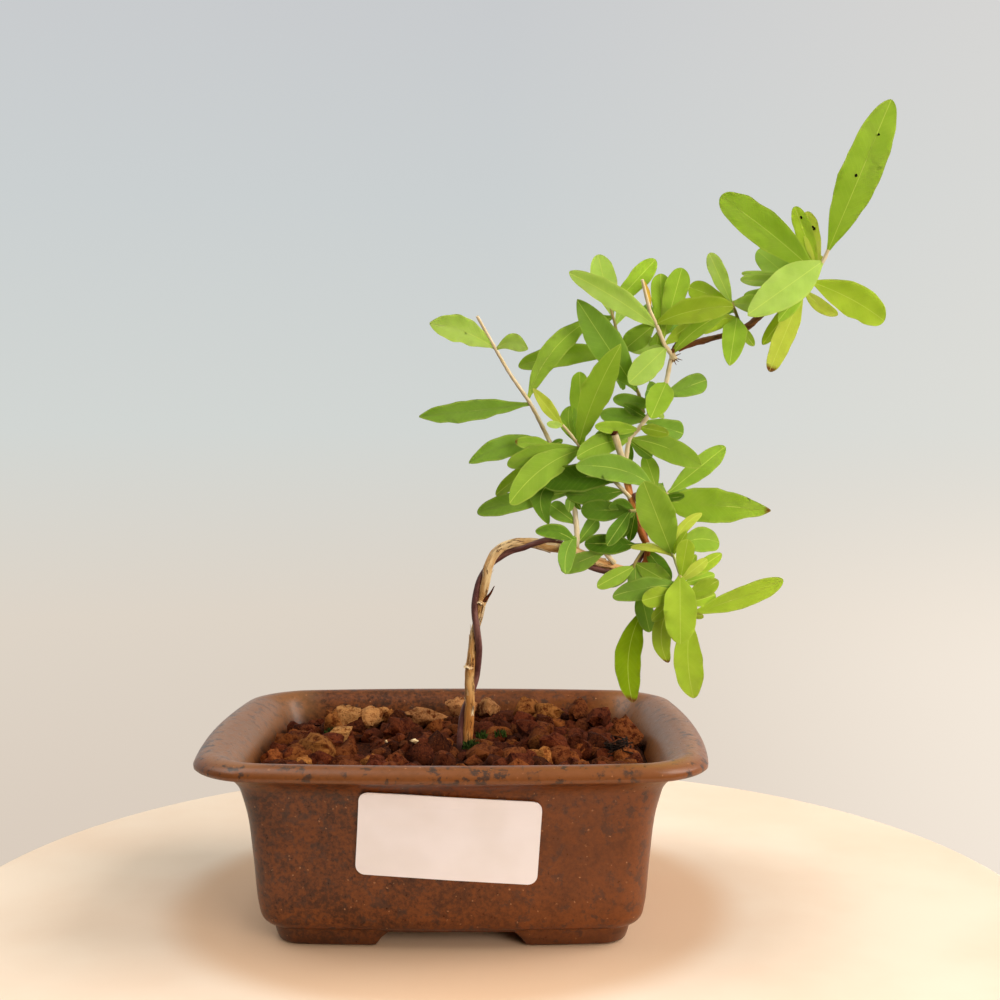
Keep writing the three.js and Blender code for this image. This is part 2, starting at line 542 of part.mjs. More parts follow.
// Grains that catch the eye: x, y, height of the middle, and the three sizes.
const NAMED_GRAINS = [
  [-26, 19, 41.6, 12, 7, 6], [-19, 20, 42.2, 5, 4, 5], [-32, 14, 42, 5, 5, 5],
  [-29, 5, 40.6, 7.5, 5, 4.5], [-41, -2, 39.8, 7, 5, 5.5], [-33, -9, 39.6, 13, 8, 6],
  [-43, -14, 38.6, 6.5, 6, 5], [-35, -19, 38.4, 6, 5, 5], [-18, -20, 38.4, 7, 5, 5],
  [-8, 21, 41.8, 9, 6, 5], [5, 29, 43.0, 14, 7, 5], [21, 28, 43.0, 11, 7, 5],
  [33, 24, 42.6, 6, 6, 7], [-14, 6, 40.8, 10, 8, 6], [38, 18, 42.0, 7, 6, 6],
  [44, 6, 41.0, 8, 9, 7.5], [22, -18, 38.8, 8, 6, 6], [21, 6, 40.4, 9, 8, 6],
  [12, -12, 39.4, 9, 7, 6], [26, -8, 39.6, 9, 7, 6], [37, -6, 39.4, 8, 7, 6],
];

/** A stone: a rough ball of twenty faces, stretched, turned and laid at x, y, z. */
function stone(x, y, z, sizes, random) {
  const rough = mergeVertices(bareBall());
  warp(rough, (vertex) => vertex.multiplyScalar(0.84 + 0.32 * random()));
  rough.scale(sizes[0] / 2, sizes[1] / 2, sizes[2] / 2);
  rough.rotateZ((random() - 0.5) * 0.9);
  rough.rotateX((random() - 0.5) * 0.5);
  rough.translate(x, y, z);
  return solid(rough);

  function bareBall() {
    const ball = new THREE.IcosahedronGeometry(1, 0);
    ball.deleteAttribute('normal');
    ball.deleteAttribute('uv');
    return ball;
  }
}

/** How far a point of the unit square is out, measured along a rounded rectangle. */
function roundedShare(u, v) {
  return (Math.abs(u) ** SOIL.roundness + Math.abs(v) ** SOIL.roundness) ** (1 / SOIL.roundness);
}

/** The lumpy top of the soil: a slab whose points are moved at random by a grain's size. */
function soilRelief(random) {
  const { halfLength, cells, crown, edge, bump } = SOIL;
  const sheet = new THREE.PlaneGeometry(2, 2, cells, cells);
  warp(sheet, (vertex) => {
    const { x: u, y: v } = vertex;
    const even = Math.round(((u + v) * cells) / 2) % 2 === 0;
    const out = Math.max(Math.abs(u), Math.abs(v));
    const share = out > 0 ? out / roundedShare(u, v) : 1;
    const loose = out < 0.99 ? bump : 0;
    vertex.x = PLAN.middle + u * share * halfLength + (random() - 0.5) * 2 * loose;
    vertex.y = v * share * halfLength * PLAN.halfWidth + (random() - 0.5) * 2 * loose;
    vertex.z = THREE.MathUtils.lerp(crown, edge, out ** 2) + (even ? 0.2 + random() : -random()) * loose;
  });
  return solid(thickened(sheet, new THREE.Vector3(0, 0, -3)));
}

function makeSoil(stemHoles) {
  const { halfLength, edge, crown, loose, seed } = SOIL;
  const random = draws(seed);
  const bottom = FLOOR.height + GAP;
  const wall = INNER_WALL.map(([r, z]) => [r - GAP * 1.2, z]).filter(([, z]) => z < edge - 1).reverse();
  const bed = potTurned([
    [0, bottom], [FLOOR.halfLength - 1, bottom], ...wall, [halfLength + GAP, edge - 1], [0, crown - 1.5],
  ]);

  const stones = NAMED_GRAINS.map(([x, y, z, ...sizes]) => stone(x, y, z, sizes, random));
  while (stones.length < NAMED_GRAINS.length + loose) {
    const [u, v] = [random() * 2 - 1, random() * 2 - 1];
    const [x, y] = [PLAN.middle + u * halfLength, v * halfLength * PLAN.halfWidth];
    const size = 4.5 + 2.5 * random();
    const taken = NAMED_GRAINS.some(([a, b, , p, q]) => Math.hypot(x - a, y - b) < (p + q + size) / 3);
    if (taken || roundedShare(u, v) > 0.86 || Math.hypot(x - 3.3, y) < 5) continue;
    stones.push(stone(x, y, crown + 0.6 * random(), [size, size * 0.85, size * 0.8], random));
  }
  let soil = joined([bed, soilRelief(random), ...stones]);
  for (const hole of stemHoles) soil = soil.subtract(hole);
  for (const side of [-1, 1]) {
    const wide = MESH.size + 2 * GAP;
    const pocket = new THREE.BoxGeometry(wide, wide, 2 * (MESH.thickness + 2 * GAP));
    soil = soil.subtract(solid(pocket.translate(PLAN.middle + side * DRAIN.x, 0, FLOOR.height)));
  }
  return mainBody(soil);
}

// ---------------------------------------------------------------- stems

/** The point drawn at x, z on the front plane, pushed back to the given depth. */
function place(x, z, depth) {
  const reach = (depth - EYE.y) / -EYE.y;
  return new THREE.Vector3(EYE.x + (x - EYE.x) * reach, depth, EYE.z + (z - EYE.z) * reach);
}

/** A list's value at a share t of its length, with straight lines between its items. */
function along(values, t) {
  const spot = Math.min(Math.max(t, 0), 1) * (values.length - 1);
  const low = Math.min(Math.floor(spot), values.length - 2);
  return THREE.MathUtils.lerp(values[low], values[low + 1], spot - low);
}

/** A round stem along the points, as thick as the radii, from its root to its end. */
function stem(points, radii, { sides = 7, steps = points.length * 2, grow = 0 } = {}) {
  const curve = new THREE.CatmullRomCurve3(points);
  const frames = curve.computeFrenetFrames(steps);
  const rod = new THREE.CylinderGeometry(1, 1, 1, sides, steps);
  warp(rod, (vertex) => {
    const step = Math.round((vertex.y + 0.5) * steps);
    const radius = along(radii, step / steps) + grow;
    const centre = curve.getPointAt(step / steps);
    const { x, z } = vertex;
    vertex.copy(centre);
    vertex.addScaledVector(frames.normals[step], x * radius);
    vertex.addScaledVector(frames.binormals[step], z * radius);
  });
  return solid(rod);
}

/** The points of one of the twisted stems, at its offset from the line between them. */
function twistedPoints(offset, opposite) {
  const middle = TWIST.map(([x, z]) => new THREE.Vector2(x, z));
  return TWIST.map(([x, z, depth, degrees], i) => {
    const way = middle[Math.min(i + 1, middle.length - 1)].clone().sub(middle[Math.max(i - 1, 0)]).normalize();
    const angle = THREE.MathUtils.degToRad(degrees) + (opposite ? Math.PI : 0);
    const aside = Math.cos(angle) * offset;
    return place(x + way.y * aside, z - way.x * aside, depth + Math.sin(angle) * offset);
  });
}

const palePoints = [...twistedPoints(PALE.offset, true), ...STUB.map(([x, z, y]) => place(x, z, y))];
const darkPoints = twistedPoints(DARK.offset, false);
const branchPoints = DARK_BRANCH.path.map(([x, z, y]) => place(x, z, y));

function makePaleTrunk(grow = 0) {
  const trunk = stem(palePoints, PALE.radii, { sides: 7, steps: 46, grow });
  const snag = stem(SNAG.map(([x, z, y]) => place(x, z, y)), [0.5, 0.35], { sides: 5, steps: 3, grow });
  const ring = knot(place(4.35, 59.2, -0.4), 1.65 + grow, 0.55);
  const scar = knot(place(8.2, 75.8, -0.6), 1.25 + grow, 0.9);
  const cut = knot(place(40.7, 117.4, 0.8), 0.95 + grow, 0.7);
  return joined([trunk, snag, ring, scar, cut]);
}

function makeDarkTrunk(grow = 0) {
  return stem(darkPoints, DARK.radii, { sides: 6, steps: 44, grow });
}

function makeDarkBranch(grow = 0) {
  const branch = stem(branchPoints, DARK_BRANCH.radii, { sides: 6, steps: 17, grow });
  const spur = stem([place(86.6, 151.6, 10), place(85.5, 149.9, 9.6)], [0.7, 0.45], { sides: 5, steps: 1, grow });
  return branch.add(spur);
}

/** A swelling: a flattened ball round a point of a stem. */
function knot(centre, radius, flatness) {
  const ball = new THREE.IcosahedronGeometry(radius, 0);
  ball.scale(1, 1, flatness);
  ball.translate(centre.x, centre.y, centre.z);
  return solid(ball);
}

// ---------------------------------------------------------------- leaves

/** The point of a shoot's twig that is drawn nearest to x, z. */
function nearestOnTwig(path, [x, z]) {
  let best = null;
  for (let i = 0; i + 1 < path.length; i++) {
    const [a, b] = [path[i], path[i + 1]];
    const [dx, dz] = [b[0] - a[0], b[1] - a[1]];
    const share = THREE.MathUtils.clamp(((x - a[0]) * dx + (z - a[1]) * dz) / (dx * dx + dz * dz), 0, 1);
    const spot = a.map((value, k) => value + (b[k] - value) * share);
    const distance = Math.hypot(spot[0] - x, spot[1] - z);
    if (!best || distance < best.distance) best = { spot, distance };
  }
  return best;
}

/** Half the width of a leaf at a share u of its length, for a half width of 1. */
function leafOutline(u, full) {
  const swelling = Math.sin(Math.PI * u ** (Math.log(0.5) / Math.log(full)));
  return Math.max(swelling, 0) ** (1.1 - 0.4 * u);
}

/** The shares of a leaf's length where its blade is bent, from its base to its tip. */
function leafStations(length, full) {
  if (length > 20) return [0, 0.5 * full, full, 0.5 + 0.5 * full, 1];
  if (length > 8) return [0, 0.65 * full, full + 0.3 * (1 - full), 1];
  return [0, full, 1];
}

/** One leaf as a solid blade, folded a little along its middle rib, with waved edges. */
function makeLeaf(drawn, path, number) {
  const { from, to, width, reach, turn, bow, arch, full } = drawn;
  const { spot, distance } = nearestOnTwig(path, from);
  const root = place(...spot);
  const stalked = distance > 2;
  const base = stalked ? place(from[0], from[1], spot[2]) : root;
  const tip = place(to[0], to[1], spot[2] + reach);

  const run = tip.clone().sub(base);
  const length = run.length();
  const ahead = run.clone().normalize();
  const facing = EYE.clone().sub(base).normalize();
  facing.addScaledVector(ahead, -facing.dot(ahead)).normalize();
  facing.applyAxisAngle(ahead, THREE.MathUtils.degToRad(turn));
  const left = facing.clone().cross(ahead);

  const stations = leafStations(length, full);
  const rows = stations.length - 1 + (stalked ? 1 : 0);
  const columns = width > 4.9 ? 2 : 1;
  const sheet = new THREE.PlaneGeometry(2, 1, columns, rows);
  warp(sheet, (vertex) => {
    const side = Math.round(vertex.x);
    const row = Math.round((0.5 - vertex.y) * rows) - (stalked ? 1 : 0);
    const u = row < 0 ? 0 : stations[row];
    const half = u === 1 ? 0 : Math.max((width / 2) * leafOutline(u, full), 0.35);
    const wave = u * (1 - u) * Math.sin(9 * u + 2.2 * number + 1.6 * side) * width * 0.16;
    vertex.copy(row < 0 ? root : base).addScaledVector(run, u);
    vertex.addScaledVector(facing, 4 * u * (1 - u) * arch * length);
    vertex.addScaledVector(left, 4 * u * (1 - u) * bow);
    vertex.addScaledVector(left, -side * half);
    if (u > 0) vertex.addScaledVector(facing, side * side * half * 0.22 + side * wave);
  });
  return solid(thickened(sheet, facing.multiplyScalar(-BLADE)));
}

/** A closed solid between an open sheet and its copy at an offset, split alike. */
function thickened(sheet, offset) {
  const count = sheet.attributes.position.count;
  const points = [...sheet.attributes.position.array];
  for (let i = 0; i < count; i++) {
    points.push(points[3 * i] + offset.x, points[3 * i + 1] + offset.y, points[3 * i + 2] + offset.z);
  }
  const top = [...sheet.index.array];
  const faces = [...top];
  const edges = new Set();
  for (let i = 0; i < top.length; i += 3) {
    const [a, b, c] = [top[i], top[i + 1], top[i + 2]];
    faces.push(c + count, b + count, a + count);
    for (const [p, q] of [[a, b], [b, c], [c, a]]) edges.add(p * count + q);
  }
  for (const edge of edges) {
    const [a, b] = [Math.floor(edge / count), edge % count];
    if (edges.has(b * count + a)) continue;
    faces.push(b, a, a + count, b, a + count, b + count);
  }
  const closed = new THREE.BufferGeometry();
  closed.setAttribute('position', new THREE.Float32BufferAttribute(points, 3));
  closed.setIndex(faces);
  return closed;
}

/** A leafy shoot: its twig and all its leaves as one body, clear of the old wood. */
function makeShoot({ path, radii, leaves }, oldWood) {
  const points = path.map(([x, z, depth]) => place(x, z, depth));
  const twig = stem(points, radii, { sides: 5, steps: path.length + 1 });
  const blades = leaves.map((drawn, number) => makeLeaf(drawn, path, number));
  let shoot = joined([twig, ...blades]);
  for (const wood of oldWood) shoot = shoot.subtract(wood);
  return mainBody(shoot);
}

// ---------------------------------------------------------------- the whole object

const group = new THREE.Group();

group.add(piece('pot', makePot(), 0x5d3319, 0.32));
group.add(piece('label', makeLabel(), 0xf1e4da, 0.55));
group.add(piece('drain_mesh_left', makeDrainMesh(-1), 0x23282b, 0.6));
group.add(piece('drain_mesh_right', makeDrainMesh(1), 0x23282b, 0.6));

const stemHoles = [makePaleTrunk(GAP), makeDarkTrunk(GAP)];
group.add(piece('soil', makeSoil(stemHoles), 0x4a2413, 0.95));

const paleTrunk = makePaleTrunk();
group.add(piece('pale_trunk', paleTrunk, 0xc79a68, 0.75));
group.add(piece('dark_trunk', mainBody(makeDarkTrunk().subtract(makePaleTrunk(GAP))), 0x4a2a2a, 0.55));
group.add(piece('dark_branch', makeDarkBranch(), 0x43240f, 0.6));

const oldWood = [makePaleTrunk(GAP), makeDarkTrunk(GAP), makeDarkBranch(GAP)];
for (const [name, shoot] of Object.entries(SHOOTS)) {
  group.add(piece(name, makeShoot(shoot, oldWood), 0x86a52f, 0.5));
}

const bounds = new THREE.Box3().setFromObject(group);
const middle = bounds.getCenter(new THREE.Vector3());
for (const mesh of group.children) {
  mesh.position.set(-middle.x, -middle.y, -bounds.min.z);
}

export default group;
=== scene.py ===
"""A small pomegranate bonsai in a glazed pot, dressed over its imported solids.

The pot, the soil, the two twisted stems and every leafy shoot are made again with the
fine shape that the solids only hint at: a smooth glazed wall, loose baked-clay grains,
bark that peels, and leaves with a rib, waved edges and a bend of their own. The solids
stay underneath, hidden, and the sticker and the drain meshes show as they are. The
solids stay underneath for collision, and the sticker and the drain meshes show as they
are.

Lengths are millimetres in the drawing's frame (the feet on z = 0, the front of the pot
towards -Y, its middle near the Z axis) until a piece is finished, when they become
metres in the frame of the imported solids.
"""

import logging
import math
import random
from collections.abc import Callable, Sequence
from dataclasses import dataclass
from enum import Enum
from typing import Any, ClassVar

import bmesh
import bpy
from mathutils import Matrix, Vector, noise


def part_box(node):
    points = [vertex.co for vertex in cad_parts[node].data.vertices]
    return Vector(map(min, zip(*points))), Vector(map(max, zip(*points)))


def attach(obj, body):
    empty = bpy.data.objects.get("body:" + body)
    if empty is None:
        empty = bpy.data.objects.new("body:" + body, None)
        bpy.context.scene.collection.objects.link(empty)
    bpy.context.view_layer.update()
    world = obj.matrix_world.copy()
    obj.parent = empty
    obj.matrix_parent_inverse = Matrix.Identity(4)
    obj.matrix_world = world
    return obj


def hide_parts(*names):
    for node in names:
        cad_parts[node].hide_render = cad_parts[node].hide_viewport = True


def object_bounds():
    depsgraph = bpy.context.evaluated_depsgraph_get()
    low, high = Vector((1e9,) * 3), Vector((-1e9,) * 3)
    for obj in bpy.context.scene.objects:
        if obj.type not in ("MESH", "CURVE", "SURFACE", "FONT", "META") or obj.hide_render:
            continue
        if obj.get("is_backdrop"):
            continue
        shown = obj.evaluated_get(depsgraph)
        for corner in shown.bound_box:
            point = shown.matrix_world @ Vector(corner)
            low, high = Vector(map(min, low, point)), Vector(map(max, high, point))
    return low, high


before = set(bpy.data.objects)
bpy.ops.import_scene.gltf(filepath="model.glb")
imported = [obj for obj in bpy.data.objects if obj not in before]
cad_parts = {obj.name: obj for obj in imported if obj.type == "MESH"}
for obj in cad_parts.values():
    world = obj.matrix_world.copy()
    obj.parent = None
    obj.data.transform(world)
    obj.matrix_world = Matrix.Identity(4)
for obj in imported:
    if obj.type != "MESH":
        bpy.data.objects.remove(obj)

LOG = logging.getLogger("bonsai")
CAD_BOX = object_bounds()

MM = 0.001
POT_LOW, POT_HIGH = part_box("pot")
POT_ASIDE = 0.8  # how far the pot's middle stands to the right of the drawing's Z axis
POT_MIDDLE = (POT_LOW + POT_HIGH) / 2
ORIGIN = Vector((POT_MIDDLE.x - POT_ASIDE * MM, POT_MIDDLE.y, POT_LOW.z))

# The plant is drawn from the front, as x and z on the plane y = 0, with a depth y for
# each point (+ is to the back). A point with a depth is seen from EYE where it was drawn.
EYE = Vector((12.0, -350.0, 118.5))

# Each point of a mesh carries a note, which is its place on the wood or the blade laid
# out straight, and a tone, which is its own colour. The finishes read both.
NOTE = "note"
TONE = "tone"

Tree = bpy.types.NodeTree
Node = bpy.types.Node
Place = Callable[[float, float], Vector]
Flat = tuple[float, float]
Spot = tuple[float, float, float]
Colour = Sequence[float]
Toned = Callable[[float, float], Colour]
PLAIN: Colour = (1.0, 1.0, 1.0, 1.0)
THICK: Colour = (0.0, 0.0, 0.0, 1.0)  # glaze that has nowhere run thin

SHARP = math.radians(50)  # edges that turn by more than this are shaded as edges
WELD = 1e-3  # points nearer than this, in millimetres, are made one
FINE_WELD = 1e-4
SHORTEST = 1e-6  # keeps a division from meeting a length of nothing


class Tone(Enum):
    """The colour of a leaf's blade as it looks, from the shaded inner ones to the young ones, so partly
    painted shade and light.
    """

    DEEP = "#4c701e"
    DARK = "#62882c"
    MID = "#7ba03f"
    FRESH = "#8aab3d"
    BRIGHT = "#92b43a"
    LIGHT = "#a5c45e"
    LIME = "#9fba3a"
    YELLOW = "#b9c84e"
    STRAW = "#c9a640"
    OLIVE = "#86a41a"


class Skin(Enum):
    """The rind of a twig: green when shaded, straw when ripe, lime on a young one."""

    GREEN = "green"
    STRAW = "straw"
    LIME = "lime"


# ---------------------------------------------------------------- the plant, drawn


@dataclass(frozen=True)
class Leaf:
    """A leaf as drawn, from its stalk to its tip.

    reach is how far the tip lies behind the stalk, turn is about the leaf's own length
    in degrees, bow is sideways (+ to the left on the way to the tip), arch is towards
    the front as a share of the length, and full is where along it the leaf is widest.
    sharp is 0 for a round tip and 1 for a pointed one, and wavy is how deep the margin's
    scallops are. marks are dark specks, each by its shares along and across (-1 to 1,
    + to the right), and a dry leaf has a brown tip.
    """

    start: Flat
    end: Flat
    width: float
    tone: Tone = Tone.MID
    reach: float = 0.0
    turn: float = 0.0
    bow: float = 0.0
    arch: float = 0.05
    full: float = 0.55
    sharp: float = 0.25
    wavy: float = 0.12
    marks: Sequence[Flat] = ()
    dry: bool = False


@dataclass(frozen=True)
class Shoot:
    """A leafy shoot: the path of its twig, the twig's radius at both ends, its leaves."""

    name: str
    path: Sequence[Spot]
    radii: tuple[float, float]
    leaves: Sequence[Leaf]
    skin: Skin = Skin.GREEN


# The line between the two stems: x, z, depth, and where the dark stem lies round it,
# in degrees (0 is to the right of the way up, 90 behind, 180 left, 270 in front).
TWIST = (
    (3.3, 31, 0, 200), (3.3, 42, 0, 178), (3.8, 47, 0, 148),
    (4.4, 51.5, 0, 90), (4.8, 56, 0, 30), (5.2, 60, 0, 5),
    (5.6, 64, 0, -25), (6, 69, 0, -85), (6.5, 73, 0, -140),
    (7.1, 77, 0, -178), (8, 81, 0, -215), (9.2, 84.6, 0, -275),
    (11.4, 87.5, -0.3, -335), (14.4, 89.3, -0.6, -362), (17.6, 89.9, -0.9, -395),
    (21, 90.2, -1.2, -450), (25, 89.9, -1.2, -535), (29, 88.7, -1.2, -625),
    (32, 87, -1.2, -690), (35, 85.4, -1.2, -725), (38.5, 84.2, -1, -745),
    (42, 83.2, -0.6, -790), (45.6, 83.4, 0, -850), (48, 85.6, 0.8, -910),
    (48.7, 88.8, 1.2, -960), (48, 92, 1.6, -1010), (46.9, 95.5, 2.2, -1060),
    (46, 99, 2.8, -1100), (44.9, 102.5, 3, -1130),
)
STUB: Sequence[Spot] = ((43.7, 106, 3), (42.7, 110.6, 1.8), (41.6, 114.3, 0), (40.7, 117.4, -1))
SNAG: Sequence[Spot] = ((8, 75.6, -0.4), (9.5, 77.4, -1.2), (10.6, 79.4, -1.8))
DARK_BRANCH: Sequence[Spot] = (
    (56.5, 138.2, 6.5), (58, 139.1, 6.7), (60.5, 140.1, 7), (64, 141.1, 7.5),
    (67.5, 142, 8), (71, 142.9, 8), (73.8, 144.4, 8.3), (76, 146.3, 8.7),
    (79, 148.6, 9), (83, 150.4, 9.5), (86.4, 151.8, 10), (88.8, 153.5, 10.4),
)

